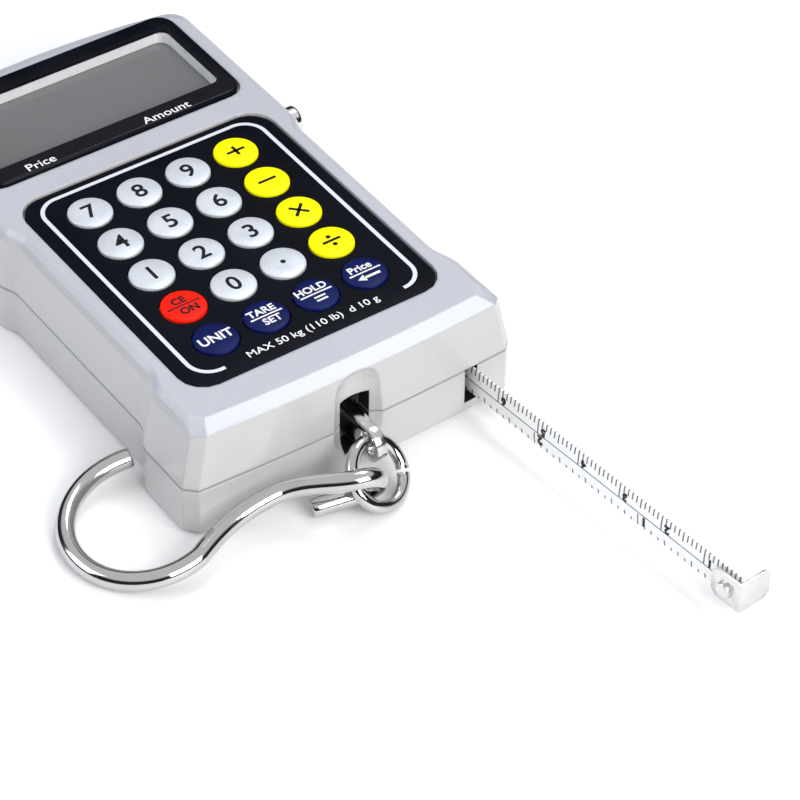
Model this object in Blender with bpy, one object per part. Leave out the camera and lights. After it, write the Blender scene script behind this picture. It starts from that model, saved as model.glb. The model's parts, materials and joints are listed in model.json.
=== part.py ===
"""Hanging fish scale with a price keypad, a weighing hook and a pull-out tape measure.

Sizes are metres. While it is built, every place is measured from the middle of the
hook end: +X right, +Y along the body towards the display, +Z up from the table.
The last step moves the origin to the middle of the case's back.
"""
import math

import bmesh
import bpy
from mathutils import Vector

for old in list(bpy.data.objects):
    bpy.data.objects.remove(old, do_unlink=True)

# ---- fits -------------------------------------------------------------------
GAP = 0.0003                 # space left between pieces that touch
CUT = 0.002                  # how far a cutting shape runs past a face

# ---- case outline -----------------------------------------------------------
BODY_LENGTH = 0.1070
PARTING_Z = 0.01005          # joint between the two shells
SHOULDER_Z = 0.0198          # where the sides start to round over
TOP_Z = 0.0216
FRONT_SHOULDER_Z = 0.0209
HOOK_HALF = 0.0330           # half widths at the parting line
KEYPAD_HALF = 0.0303
DISPLAY_HALF = 0.0316
HOOK_DRAFT = 0.0022          # how much narrower each section is at the shoulder
KEYPAD_DRAFT = 0.0011
DISPLAY_DRAFT = 0.0012
FLARE_Y = (0.0140, 0.0200)   # from the hook block to the keypad section
STEP_Y = (0.0600, 0.0640)    # from the keypad section to the display section
FRONT_BULGE = 0.0009
CORNER_CUT = 0.0020
FAR_BULGE = 0.0022
FAR_CORNER_R = 0.0040
TOP_SIDE_INSET = 0.0017
TOP_FRONT_INSET = 0.0038
TOP_BACK_INSET = 0.0038
BOTTOM_INSET = 0.0009
WALL = 0.0020
FLOOR_Z = 0.0020
CEILING_Z = 0.0190

# ---- hook end ---------------------------------------------------------------
GROOVE_R = 0.00753
GROOVE_DEPTH = 0.0019
GROOVE_Z = (0.0043, 0.0214)
SLOT_HALF = 0.0029
SLOT_Z = (0.0040, 0.0148)
BLOCK_HALF = 0.0069
BLOCK_Y = 0.0042

# ---- keypad -----------------------------------------------------------------
KEY_PITCH = 0.0100
KEY_FIRST_ROW_Y = 0.0200
KEY_R = 0.0040
KEY_FLANGE_R = 0.0046
KEY_FLANGE_Z = (0.0179, 0.0187)
KEY_SHOULDER_Z = 0.0216
KEY_CROWN = 0.0003
KEY_CROWN_STEPS = ((0.90, 0.60), (0.50, 1.0))   # shares of the radius and of the crown
KEY_HOLE_R = KEY_R + GAP
KEY_SIDES = 16
PANEL_HALF = 0.0253
PANEL_Y = (0.0105, 0.0684)
PANEL_CORNER_R = 0.0050
PANEL_Z = (0.0205, 0.0213)
MAT_HALF = 0.0212
MAT_Y = (0.0150, 0.0650)
MAT_Z = (0.0159, 0.0167)
DOME_R = 0.0026
DOME_H = 0.0004
DOME_NECK = 0.8   # share of the foot radius
KEY_ROWS = (
    ("key_unit", "key_tare_set", "key_hold_equals", "key_price_back"),
    ("key_ce_on", "key_0", "key_point", "key_divide"),
    ("key_1", "key_2", "key_3", "key_times"),
    ("key_4", "key_5", "key_6", "key_minus"),
    ("key_7", "key_8", "key_9", "key_plus"),
)

# ---- display ----------------------------------------------------------------
WINDOW_HALF = 0.0263
WINDOW_Y = (0.0742, 0.1016)
WINDOW_Z = (0.0212, 0.0224)
WINDOW_CORNER_R = 0.0035
WINDOW_BEVEL = 0.0006
GLASS_HALF = 0.0233
GLASS_Y = (0.0786, 0.0971)
GLASS_TOP_Z = 0.0199
LCD_BODY_Z = (0.0162, 0.0187)
LCD_BODY_MARGIN = 0.0010

# ---- boards and sounder -----------------------------------------------------
BOARD_HALF = 0.0232
BOARD_Y = (0.0120, 0.1015)
BOARD_Z = (0.0140, 0.0156)
BUZZER_PLACE = (-0.0150, 0.0400)
BUZZER_R = 0.0060
BUZZER_H = 0.0050
BUZZER_PORT_R = 0.0010
BUZZER_PORT_DEPTH = 0.0015

# ---- load cell and hanging gear ---------------------------------------------
CELL_HALF = 0.0048
CELL_Y = (0.0090, 0.0670)
CELL_Z = (0.0038, 0.0134)
CELL_BORE_R = 0.0031
CELL_BORES_Y = (0.0330, 0.0430)
CELL_SCREWS_Y = (0.0585, 0.0645)
CELL_SCREW_R = 0.0013
CELL_HEAD_R = 0.0027
PAD_Y = (0.0555, 0.0675)
CLEVIS_DEPTH = 0.0080
PIN_R = 0.0015
PIN_PLACE = (0.0130, 0.0086)      # along the body, height
PLATE_HALF = 0.0010
PLATE_R = 0.00335
PLATE_END_Y = -0.00375
RING_HOLE_PLACE = (-0.0039, 0.0089)
RING_HOLE_R = 0.0022

RING_R = 0.00565
RING_WIRE_R = 0.00115
RING_CENTRE = (-0.00167, -0.00804, 0.00561)
RING_NORMAL = (0.287, -0.721, 0.630)

HOOK_WIRE_R = 0.00175
EYE_CENTRE = (-0.0068, -0.0093, 0.0061)
EYE_DOWN = (0.105, 0.436, -0.894)
EYE_OUT = (0.968, -0.251, -0.009)
EYE_R = 0.00390
TAIL_LENGTH = 0.0072
SHANK_START = (-0.0188, -0.0034)
SHANK_HEADING = 172.0
HOOK_BENDS = ((0.0269, 35.1), (0.00546, -16.6), (0.01265, -86.4), (0.01396, -123.2))
HOOK_PLANE_RISE = 0.15
HOOK_LOW = (-0.0500, 0.00196)     # place across the body, height of the centre line there

TOP_PLATE_HALF = 0.0010
TOP_PLATE_Z = (0.0053, 0.0120)
TOP_HEAD_Y = (BODY_LENGTH - 0.0046, BODY_LENGTH - 0.0027)
TOP_HEAD_HALF = 0.0060
TOP_HOLE_Y = BODY_LENGTH + 0.0045
TOP_HOLE_R = 0.0020
TOP_RING_R = 0.0070
TOP_RING_WIRE_R = 0.00115
TOP_RING_LEAN = 32.0

# ---- tape measure -----------------------------------------------------------
TAPE_SPLAY = 5.03            # degrees the blade leaves towards the right
TAPE_X = 0.0241              # where the blade crosses the hook end
TAPE_THICK = 0.00025
TAPE_Z = (0.0037, 0.0096)
TAPE_BOW = 0.00022
TAPE_OUT = 0.0654
TAPE_IN = 0.0120
TAPE_SLOT_X = (0.0223, 0.0248)
TAPE_SLOT_Z = 0.0027
END_PLATE_ALONG = (0.0588, 0.0651)
END_PLATE_Z = (0.0031, 0.0092)
END_PLATE_THICK = 0.0006
END_LIP_ACROSS = 0.0058
END_LIP_THICK = 0.0006
RIVET_ALONG = 0.0619
RIVET_Z = 0.0060
RIVET_R = 0.0012
RIVET_SHANK_R = 0.0006
COIL_CENTRE = (0.0142, 0.0125)
COIL_R = (0.0049, 0.0083)
COIL_Z = (0.0037, 0.0095)
SPOOL_DISC_R = 0.0085
SPOOL_DISC_Z = (0.0029, 0.0034)
SPOOL_HUB_R = (0.0040, 0.0046)
SPINDLE_R = 0.0012
SPINDLE_Z = (0.0023, 0.0110)
SPRING_R = (0.0018, 0.0036)
SPRING_TURNS = 2.5
SPRING_THICK = 0.0002
RETAINER_R = 0.0034
RETAINER_Z = (0.0099, 0.0105)

# ---- tape lock --------------------------------------------------------------
BUTTON_PLACE = (0.0698, 0.0144)   # along the body, height
BUTTON_R = 0.0027
BUTTON_FLANGE_R = 0.0036
BUTTON_FLANGE_X = (0.0274, 0.0281)
BUTTON_APEX_X = 0.0350
BUTTON_CROWN = 0.0010
BUTTON_CROWN_RS = (0.0023, 0.0012)   # where the crown bends, and its flat
BUTTON_CROWN_RISE = 0.55             # share of the crown below the bend
BUTTON_STEM_R = 0.0015
BUTTON_STEM_X = 0.0263
LEVER_PIVOT = (0.0253, 0.0280)
LEVER_HALF = 0.0006
LEVER_Z = (0.0110, 0.0135)
LEVER_TAB_TOP = 0.0162
LEVER_END_Y = 0.0720
LEVER_EYE_R = 0.0022
LEVER_HEAD_RS = (0.00176, 0.00154)
LEVER_PIN_R = 0.0010
LEVER_POST_R = 0.0020
BRAKE_ANGLE = 43.6
BRAKE_REACH = 0.0091
BRAKE_PAD_Z = 0.0050

# ---- battery bay ------------------------------------------------------------
CELL_AAA_R = 0.0051
CELL_AAA_HALF = 0.02225
CELL_AAA_NUB = 0.0010
CELL_AAA_EDGE_R = 0.0048
CELL_AAA_NUB_RS = (0.0019, 0.0018)
CELL_AAA_Z = 0.0070
BATTERY_YS = (0.0837, 0.0943)
POCKET_HALF = 0.0237
POCKET_Y = (0.0782, 0.0998)
POCKET_TOP = 0.0124
BAY_HALF = 0.0245
BAY_Y = (0.0772, 0.1008)
BAY_TOP = 0.0132
CONTACT_THICK = 0.0004
CONTACT_HALF = 0.0040
DOOR_HALF = 0.0236
DOOR_Y = 0.0774
DOOR_TOP = 0.0015
TONGUE = 0.0008
TONGUE_LENGTH = 0.0045
TONGUE_STARTS = (0.0030, 0.0150)  # from the door's inner edge
DOOR_TRAVEL = 0.0055
TONGUE_Z = (0.00085, 0.00115)

# ---- case screws ------------------------------------------------------------
SCREW_PLACES = ((-0.0270, 0.0100), (0.0270, 0.0100), (0.0273, 0.1000), (-0.0273, 0.1000))
POST_R = 0.0024
SCREW_R = 0.0010
SCREW_HEAD_R = 0.0018
SCREW_HEAD_Z = (0.0004, 0.0019)
SCREW_END_Z = 0.0165

ORIGIN_SHIFT = Vector((0.0, -BODY_LENGTH / 2.0, 0.0))


# ---- helpers ----------------------------------------------------------------
def mix(a, b, t):
    return a + (b - a) * t


def ease(t):
    return t * t * (3.0 - 2.0 * t)


def circle(radius, sides, centre=(0.0, 0.0), start=0.5):
    points = []
    for step in range(sides):
        angle = 2.0 * math.pi * (step + start) / sides
        points.append((centre[0] + radius * math.cos(angle), centre[1] + radius * math.sin(angle)))
    return points


def rounded_box(x0, x1, y0, y1, radius, steps=4):
    points = []
    corners = ((x1, y1, 0), (x0, y1, 90), (x0, y0, 180), (x1, y0, 270))
    middle_x = (x0 + x1) / 2.0
    middle_y = (y0 + y1) / 2.0
    for x, y, first in corners:
        cx = x - math.copysign(radius, x - middle_x)
        cy = y - math.copysign(radius, y - middle_y)
        for step in range(steps + 1):
            angle = math.radians(first + 90.0 * step / steps)
            points.append((cx + radius * math.cos(angle), cy + radius * math.sin(angle)))
    return points


def skin(rings):
    """Joins equal-length rings of points into one closed solid."""
    shape = bmesh.new()
    rows = [[shape.verts.new(point) for point in ring] for ring in rings]
    count = len(rows[0])
    for low, high in zip(rows, rows[1:]):
        for index in range(count):
            after = (index + 1) % count
            shape.faces.new((low[index], low[after], high[after], high[index]))
    shape.faces.new(list(reversed(rows[0])))
    shape.faces.new(rows[-1])
    bmesh.ops.recalc_face_normals(shape, faces=shape.faces)
    mesh = bpy.data.meshes.new("solid")
    shape.to_mesh(mesh)
    shape.free()
    made = bpy.data.objects.new("solid", mesh)
    bpy.context.scene.collection.objects.link(made)
    return made


def turned(point, axis):
    """Puts a flat (a, b) point at depth c, with the depth along the named axis."""
    a, b, c = point
    if axis == "X":
        return (c, a, b)
    if axis == "Y":
        return (a, c, b)
    return (a, b, c)


def prism(outline, low, high, axis="Z"):
    return skin([[turned((a, b, c), axis) for a, b in outline] for c in (low, high)])


def box(x0, x1, y0, y1, z0, z1):
    return prism([(x0, y0), (x1, y0), (x1, y1), (x0, y1)], z0, z1)


def rod(radius, low, high, centre=(0.0, 0.0), axis="Z", sides=16):
    return prism(circle(radius, sides, centre), low, high, axis)


def lathe(profile, centre=(0.0, 0.0), axis="Z", sides=24):
    """Turns (radius, depth) steps about an axis through a place."""
    rings = []
    for radius, depth in profile:
        rings.append([turned((a, b, depth), axis) for a, b in circle(radius, sides, centre)])
    return skin(rings)


def wire(path, radius, sides=10, closed=False):
    """Round wire along a line of points; a closed line makes a ring."""
    points = [Vector(point) for point in path]
    count = len(points)
    tangents = []
    for index in range(count):
        if closed:
            ahead = points[(index + 1) % count]
            behind = points[index - 1]
        else:
            ahead = points[min(index + 1, count - 1)]
            behind = points[max(index - 1, 0)]
        tangents.append((ahead - behind).normalized())
    side = tangents[0].orthogonal().normalized()
    rings = []
    for point, tangent in zip(points, tangents):
        side = (side - tangent * side.dot(tangent)).normalized()
        other = tangent.cross(side)
        ring = []
        for step in range(sides):
            angle = 2.0 * math.pi * step / sides
            ring.append(point + side * (radius * math.cos(angle)) + other * (radius * math.sin(angle)))
        rings.append(ring)
    if not closed:
        return skin(rings)
    shape = bmesh.new()
    rows = [[shape.verts.new(point) for point in ring] for ring in rings]
    for index in range(count):
        low = rows[index]
        high = rows[(index + 1) % count]
        for step in range(sides):
            after = (step + 1) % sides
            shape.faces.new((low[step], low[after], high[after], high[step]))
    bmesh.ops.recalc_face_normals(shape, faces=shape.faces)
    mesh = bpy.data.meshes.new("ring")
    shape.to_mesh(mesh)
    shape.free()
    made = bpy.data.objects.new("ring", mesh)
    bpy.context.scene.collection.objects.link(made)
    return made


def combine(target, tool, operation):
    """Applies one solid to another at once and removes the tool."""
    fit = target.modifiers.new("fit", "BOOLEAN")
    fit.operation = operation
    fit.solver = "EXACT"
    fit.object = tool
    graph = bpy.context.evaluated_depsgraph_get()
    result = bpy.data.meshes.new_from_object(target.evaluated_get(graph))
    target.modifiers.clear()
    before = target.data
    target.data = result
    bpy.data.meshes.remove(before)
    bpy.data.objects.remove(tool, do_unlink=True)
    return target


def carve(target, *tools):
    for tool in tools:
        combine(target, tool, "DIFFERENCE")
    return target


def join(target, *tools):
    for tool in tools:
        combine(target, tool, "UNION")
    return target


def material(name, colour, metallic, roughness):
    made = bpy.data.materials.new(name)
    made.use_nodes = True
    shader = made.node_tree.nodes["Principled BSDF"]
    shader.inputs["Base Color"].default_value = (*colour, 1.0)
    shader.inputs["Metallic"].default_value = metallic
    shader.inputs["Roughness"].default_value = roughness
    return made


FINISHES = {
    "shell": ((0.58, 0.59, 0.64), 0.0, 0.35),
    "panel": ((0.012, 0.014, 0.020), 0.0, 0.30),
    "silver_key": ((0.60, 0.61, 0.64), 0.0, 0.30),
    "yellow_key": ((0.95, 0.85, 0.02), 0.0, 0.35),
    "red_key": ((0.85, 0.03, 0.02), 0.0, 0.35),
    "navy_key": ((0.01, 0.02, 0.12), 0.0, 0.35),
    "window": ((0.020, 0.021, 0.028), 0.0, 0.15),
    "glass": ((0.18, 0.19, 0.17), 0.0, 0.20),
    "mat": ((0.25, 0.25, 0.26), 0.0, 0.80),
    "board": ((0.03, 0.20, 0.08), 0.0, 0.50),
    "black_plastic": ((0.02, 0.02, 0.02), 0.0, 0.50),
    "aluminium": ((0.75, 0.76, 0.78), 1.0, 0.40),
    "steel": ((0.70, 0.70, 0.70), 1.0, 0.20),
    "tape": ((0.90, 0.90, 0.88), 0.0, 0.40),
    "battery": ((0.10, 0.25, 0.12), 0.0, 0.35),
}


def finish(made, name, finish_name, origin=(0.0, 0.0, 0.0), smooth=None):
    """Names a piece, gives it its finish and sets its origin on its own joint line."""
    centre = Vector(origin) + (ORIGIN_SHIFT if any(origin) else Vector())
    made.name = name
    made.data.name = name
    for vertex in made.data.vertices:
        vertex.co = vertex.co + ORIGIN_SHIFT - centre
    made.location = centre
    colour, metallic, roughness = FINISHES[finish_name]
    made.data.materials.clear()
    made.data.materials.append(material(name, colour, metallic, roughness))
    if smooth:
        made.data.shade_smooth()
        made.data.set_sharp_from_angle(angle=math.radians(smooth))
    return made


# ---- case outline -----------------------------------------------------------
def case_ring(z, side_inset=0.0, front_inset=0.0, back_inset=0.0, front_z=None):
    """One level outline of the case, from the hook end round to the display end."""
    level = min(max((z - PARTING_Z) / (SHOULDER_Z - PARTING_Z), 0.0), 1.0)
    hook = HOOK_HALF - HOOK_DRAFT * level - side_inset
    keypad = KEYPAD_HALF - KEYPAD_DRAFT * level - side_inset
    display = DISPLAY_HALF - DISPLAY_DRAFT * level - side_inset
    front_z = z if front_z is None else front_z
    right = []
    edge = hook - CORNER_CUT
    for step in range(4):
        x = edge * step / 3.0
        right.append((x, front_inset + FRONT_BULGE * (x / edge) ** 2, front_z))
    right.append((hook, front_inset + FRONT_BULGE + CORNER_CUT, mix(z, front_z, 0.4)))
    for step in range(5):
        t = step / 4.0
        right.append((mix(hook, keypad, ease(t)), mix(FLARE_Y[0], FLARE_Y[1], t), z))
    for step in range(5):
        t = step / 4.0
        right.append((mix(keypad, display, ease(t)), mix(STEP_Y[0], STEP_Y[1], t), z))
    corner_x = display - FAR_CORNER_R
    last = math.radians(80.0)
    bulge_x = corner_x + FAR_CORNER_R * math.cos(last)
    far_y = BODY_LENGTH - back_inset
    corner_y = far_y - FAR_BULGE - FAR_CORNER_R * math.sin(last)
    for step in range(5):
        angle = last * step / 4.0
        right.append((corner_x + FAR_CORNER_R * math.cos(angle),
                      corner_y + FAR_CORNER_R * math.sin(angle), z))
    for step in (3, 2, 1, 0):
        x = bulge_x * step / 4.0
        right.append((x, far_y - FAR_BULGE * (x / bulge_x) ** 2, z))
    left = [(-x, y, height) for x, y, height in reversed(right[1:-1])]
    return right + left


def case_stack(levels):
    return skin([case_ring(*level) for level in levels])


def hook_slot():
    """Upright slot through the hook end, above a flat sill."""
    return box(-SLOT_HALF, SLOT_HALF, -CUT, BLOCK_Y + CUT, SLOT_Z[0], SLOT_Z[1])


def hook_groove():
    """Scoop down the middle of the hook end, rounded at both ends."""
    low, high = GROOVE_Z
    reach = GROOVE_R - GROOVE_DEPTH
    profile = []
    for share in (-1.0, -0.95, -0.80, -0.50, 0.0):
        end_r = reach * 0.96
        r = mix(end_r, GROOVE_R, math.sqrt(1.0 - share * share))
        profile.append((r, low + (1.0 + share) * GROOVE_DEPTH * 2.0))
    for share in (0.0, 0.50, 0.80, 0.95, 1.0):
        r = mix(reach * 0.96, GROOVE_R, math.sqrt(1.0 - share * share))
        profile.append((r, high - (1.0 - share) * GROOVE_DEPTH * 2.0))
    return lathe(profile, (0.0, -reach), "Z", 40)


def far_slot():
    slot_half = TOP_PLATE_HALF + GAP
    return box(-slot_half, slot_half, TOP_HEAD_Y[1] - GAP, BODY_LENGTH + CUT,
               TOP_PLATE_Z[0] - GAP, TOP_PLATE_Z[1] + GAP)


def key_places():
    for row, names in enumerate(KEY_ROWS):
        y = KEY_FIRST_ROW_Y + KEY_PITCH * row
        for column, name in enumerate(names):
            yield name, (column - 1.5) * KEY_PITCH, y


def button_hole(radius):
    return rod(radius, BUTTON_FLANGE_X[0], BUTTON_APEX_X + CUT, BUTTON_PLACE, "X", 20)


# ---- top shell --------------------------------------------------------------
shell_low = PARTING_Z + GAP / 2.0
chamfer_z = mix(SHOULDER_Z, TOP_Z, 0.66)
top_shell = case_stack((
    (shell_low, 0.0, 0.0, 0.0),
    (SHOULDER_Z, 0.0, 0.0005, 0.0010, FRONT_SHOULDER_Z),
    (chamfer_z, TOP_SIDE_INSET * 0.42, TOP_FRONT_INSET * 0.55, TOP_BACK_INSET * 0.55,
     mix(FRONT_SHOULDER_Z, TOP_Z, 0.50)),
    (TOP_Z, TOP_SIDE_INSET, TOP_FRONT_INSET, TOP_BACK_INSET),
))
carve(top_shell, case_stack((
    (shell_low - CUT, WALL, WALL, WALL),
    (CEILING_Z, WALL, WALL, WALL),
)))
join(top_shell, box(-BLOCK_HALF, BLOCK_HALF, WALL - GAP, BLOCK_Y, shell_low, CEILING_Z + GAP))
for x, y in SCREW_PLACES:
    join(top_shell, rod(POST_R, shell_low, CEILING_Z + GAP, (x, y)))
    carve(top_shell, rod(SCREW_R + GAP, shell_low - CUT, SCREW_END_Z + GAP, (x, y), sides=12))
carve(top_shell, hook_groove(), hook_slot(), far_slot(), button_hole(BUTTON_R + GAP))
carve(top_shell, prism(rounded_box(-PANEL_HALF - GAP, PANEL_HALF + GAP, PANEL_Y[0] - GAP,
                                   PANEL_Y[1] + GAP, PANEL_CORNER_R), PANEL_Z[0] - GAP, TOP_Z + CUT))
carve(top_shell, prism(rounded_box(-WINDOW_HALF - GAP, WINDOW_HALF + GAP, WINDOW_Y[0] - GAP,
                                   WINDOW_Y[1] + GAP, WINDOW_CORNER_R), WINDOW_Z[0] - GAP, TOP_Z + CUT))
carve(top_shell, box(-GLASS_HALF - GAP, GLASS_HALF + GAP, GLASS_Y[0] - GAP, GLASS_Y[1] + GAP,
                     CEILING_Z - CUT, TOP_Z + CUT))
for name, x, y in key_places():
    carve(top_shell, rod(KEY_HOLE_R, CEILING_Z - CUT, TOP_Z, (x, y), sides=KEY_SIDES))
finish(top_shell, "top_shell", "shell", smooth=28)

# ---- back shell -------------------------------------------------------------
back_high = PARTING_Z - GAP / 2.0
back_shell = case_stack((
    (0.0, BOTTOM_INSET, BOTTOM_INSET, BOTTOM_INSET),
    (BOTTOM_INSET, 0.0, 0.0, 0.0),
    (back_high, 0.0, 0.0, 0.0),
))
carve(back_shell, case_stack(((FLOOR_Z, WALL, WALL, WALL), (back_high + CUT, WALL, WALL, WALL))))
floor_in = FLOOR_Z - GAP
join(back_shell, box(-BLOCK_HALF, BLOCK_HALF, WALL - GAP, BLOCK_Y, floor_in, back_high))
join(back_shell, box(-CELL_HALF, CELL_HALF, PAD_Y[0], PAD_Y[1], floor_in, CELL_Z[0] - GAP))
join(back_shell, box(-BAY_HALF, BAY_HALF, BAY_Y[0], BAY_Y[1], floor_in, BAY_TOP))
join(back_shell, box(-TOP_HEAD_HALF, TOP_HEAD_HALF, BAY_Y[1] - GAP, TOP_HEAD_Y[0] - GAP,
                     floor_in, back_high))
join(back_shell, rod(LEVER_POST_R, floor_in, LEVER_Z[0] - GAP, LEVER_PIVOT))
for x, y in SCREW_PLACES:
    join(back_shell, rod(POST_R, floor_in, back_high, (x, y)))
    carve(back_shell, lathe(((SCREW_HEAD_R + GAP, -CUT), (SCREW_HEAD_R + GAP, SCREW_HEAD_Z[1] + GAP),
                             (SCREW_R + GAP, SCREW_HEAD_Z[1] + GAP), (SCREW_R + GAP, back_high + CUT)),
                            (x, y), sides=16))
for y in CELL_SCREWS_Y:
    carve(back_shell, lathe(((CELL_HEAD_R + GAP, -CUT), (CELL_HEAD_R + GAP, FLOOR_Z),
                             (CELL_SCREW_R + GAP, FLOOR_Z), (CELL_SCREW_R + GAP, CELL_Z[0] + CUT)),
                            (0.0, y), sides=16))
carve(back_shell, hook_groove(), hook_slot(), far_slot())
carve(back_shell, box(TAPE_SLOT_X[0], TAPE_SLOT_X[1], -CUT, WALL + CUT, TAPE_SLOT_Z, back_high + CUT))
carve(back_shell, box(-POCKET_HALF, POCKET_HALF, POCKET_Y[0], POCKET_Y[1], DOOR_TOP, POCKET_TOP))
carve(back_shell, box(-DOOR_HALF - GAP, DOOR_HALF + GAP, DOOR_Y - GAP, BODY_LENGTH + CUT,
                      -CUT, DOOR_TOP + GAP))
groove_half = DOOR_HALF + TONGUE + GAP
for start in TONGUE_STARTS:
    near = DOOR_Y + start
    far = near + TONGUE_LENGTH
    carve(back_shell, box(-groove_half, groove_half, near - GAP, far + DOOR_TRAVEL + GAP,
                          TONGUE_Z[0] - GAP, TONGUE_Z[1] + GAP))
    carve(back_shell, box(-groove_half, groove_half, near + DOOR_TRAVEL - GAP,
                          far + DOOR_TRAVEL + GAP, -CUT, TONGUE_Z[1]))
carve(back_shell, rod(LEVER_PIN_R + GAP, CELL_Z[0], LEVER_Z[0] + CUT, LEVER_PIVOT))
finish(back_shell, "back_shell", "shell", smooth=28)

# ---- battery door -----------------------------------------------------------
door = box(-DOOR_HALF, DOOR_HALF, DOOR_Y, BODY_LENGTH, 0.0, DOOR_TOP)
tongue_half = DOOR_HALF + TONGUE
for start in TONGUE_STARTS:
    join(door, box(-tongue_half, tongue_half, DOOR_Y + start, DOOR_Y + start + TONGUE_LENGTH,
                   TONGUE_Z[0], TONGUE_Z[1]))
combine(door, case_stack(((-CUT, BOTTOM_INSET, BOTTOM_INSET, BOTTOM_INSET),
                          (0.0, BOTTOM_INSET, BOTTOM_INSET, BOTTOM_INSET),
                          (BOTTOM_INSET, 0.0, 0.0, 0.0), (back_high, 0.0, 0.0, 0.0))), "INTERSECT")
finish(door, "battery_door", "shell", (0.0, DOOR_Y, 0.0))

# ---- display ----------------------------------------------------------------
window = skin([[(x, y, z) for x, y in rounded_box(
    -WINDOW_HALF + inset, WINDOW_HALF - inset, WINDOW_Y[0] + inset, WINDOW_Y[1] - inset,
    WINDOW_CORNER_R - inset)] for z, inset in
    ((WINDOW_Z[0], 0.0), (WINDOW_Z[1] - WINDOW_BEVEL, 0.0), (WINDOW_Z[1], WINDOW_BEVEL))])
finish(window, "display_window", "window", smooth=28)

lcd = box(-GLASS_HALF, GLASS_HALF, GLASS_Y[0], GLASS_Y[1], LCD_BODY_Z[0] + GAP, GLASS_TOP_Z)
join(lcd, box(-BOARD_HALF + GAP, BOARD_HALF - GAP, GLASS_Y[0] - LCD_BODY_MARGIN,
              GLASS_Y[1] + LCD_BODY_MARGIN, LCD_BODY_Z[0], LCD_BODY_Z[1]))
finish(lcd, "lcd_module", "glass")

# ---- keypad -----------------------------------------------------------------
panel = prism(rounded_box(-PANEL_HALF, PANEL_HALF, PANEL_Y[0], PANEL_Y[1], PANEL_CORNER_R),
              PANEL_Z[0], PANEL_Z[1])
mat = prism(rounded_box(-MAT_HALF, MAT_HALF, MAT_Y[0], MAT_Y[1], DOME_R), MAT_Z[0], MAT_Z[1])
for name, x, y in key_places():
    carve(panel, rod(KEY_HOLE_R, PANEL_Z[0] - CUT, PANEL_Z[1] + CUT, (x, y), sides=KEY_SIDES))
    join(mat, lathe(((DOME_R, MAT_Z[1] - GAP), (DOME_R * DOME_NECK, MAT_Z[1] + DOME_H)), (x, y), sides=8))
finish(panel, "keypad_panel", "panel")
finish(mat, "keypad_mat", "mat")

for name, x, y in key_places():
    key = lathe((
        (KEY_FLANGE_R, KEY_FLANGE_Z[0]),
        (KEY_FLANGE_R, KEY_FLANGE_Z[1]),
        (KEY_R, KEY_FLANGE_Z[1]),
        (KEY_R, KEY_SHOULDER_Z),
        *[(KEY_R * across, KEY_SHOULDER_Z + KEY_CROWN * up) for across, up in KEY_CROWN_STEPS],
    ), (x, y), sides=KEY_SIDES)
    if name == "key_ce_on":
        colour = "red_key"
    elif name in ("key_plus", "key_minus", "key_times", "key_divide"):
        colour = "yellow_key"
    elif y < KEY_FIRST_ROW_Y + KEY_PITCH / 2.0:
        colour = "navy_key"
    else:
        colour = "silver_key"
    finish(key, name, colour, (x, y, KEY_FLANGE_Z[0]), smooth=40)

# ---- board and sounder ------------------------------------------------------
finish(box(-BOARD_HALF, BOARD_HALF, BOARD_Y[0], BOARD_Y[1], BOARD_Z[0], BOARD_Z[1]),
       "main_board", "board")
buzzer_top = BOARD_Z[0] - GAP
buzzer = rod(BUZZER_R, buzzer_top - BUZZER_H, buzzer_top, BUZZER_PLACE, sides=24)
carve(buzzer, rod(BUZZER_PORT_R, buzzer_top - BUZZER_H - CUT,
                  buzzer_top - BUZZER_H + BUZZER_PORT_DEPTH, BUZZER_PLACE, sides=12))
finish(buzzer, "buzzer", "black_plastic", smooth=28)

# ---- load cell --------------------------------------------------------------
cell = box(-CELL_HALF, CELL_HALF, CELL_Y[0], CELL_Y[1], CELL_Z[0], CELL_Z[1])
cell_middle = (CELL_Z[0] + CELL_Z[1]) / 2.0
for y in CELL_BORES_Y:
    carve(cell, rod(CELL_BORE_R, -CELL_HALF - CUT, CELL_HALF + CUT, (y, cell_middle), "X", 20))
carve(cell, box(-CELL_HALF - CUT, CELL_HALF + CUT, CELL_BORES_Y[0], CELL_BORES_Y[1],
                cell_middle - CELL_BORE_R / 3.0, cell_middle + CELL_BORE_R / 3.0))
clevis_half = PLATE_HALF + GAP
carve(cell, box(-clevis_half, clevis_half, CELL_Y[0] - CUT, CELL_Y[0] + CLEVIS_DEPTH, 0.0, TOP_Z))
carve(cell, rod(PIN_R + GAP, -CELL_HALF - CUT, CELL_HALF + CUT, PIN_PLACE, "X", 16))
for y in CELL_SCREWS_Y:
    carve(cell, rod(CELL_SCREW_R + GAP, 0.0, CELL_Z[1] - WALL, (0.0, y), sides=12))
finish(cell, "load_cell", "aluminium", smooth=28)

finish(rod(PIN_R, -CELL_HALF, CELL_HALF, PIN_PLACE, "X", 16), "hanger_pin", "steel", smooth=40)
for number, y in enumerate(CELL_SCREWS_Y, 1):
    screw = lathe(((CELL_HEAD_R, GAP), (CELL_HEAD_R, FLOOR_Z - GAP), (CELL_SCREW_R, FLOOR_Z - GAP),
                   (CELL_SCREW_R, CELL_Z[1] - WALL - GAP)), (0.0, y), sides=16)
    carve(screw, box(-CELL_HEAD_R, CELL_HEAD_R, y - GAP, y + GAP, -CUT, FLOOR_Z / 2.0))
    finish(screw, "load_cell_screw_%d" % number, "steel", smooth=40)

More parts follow.
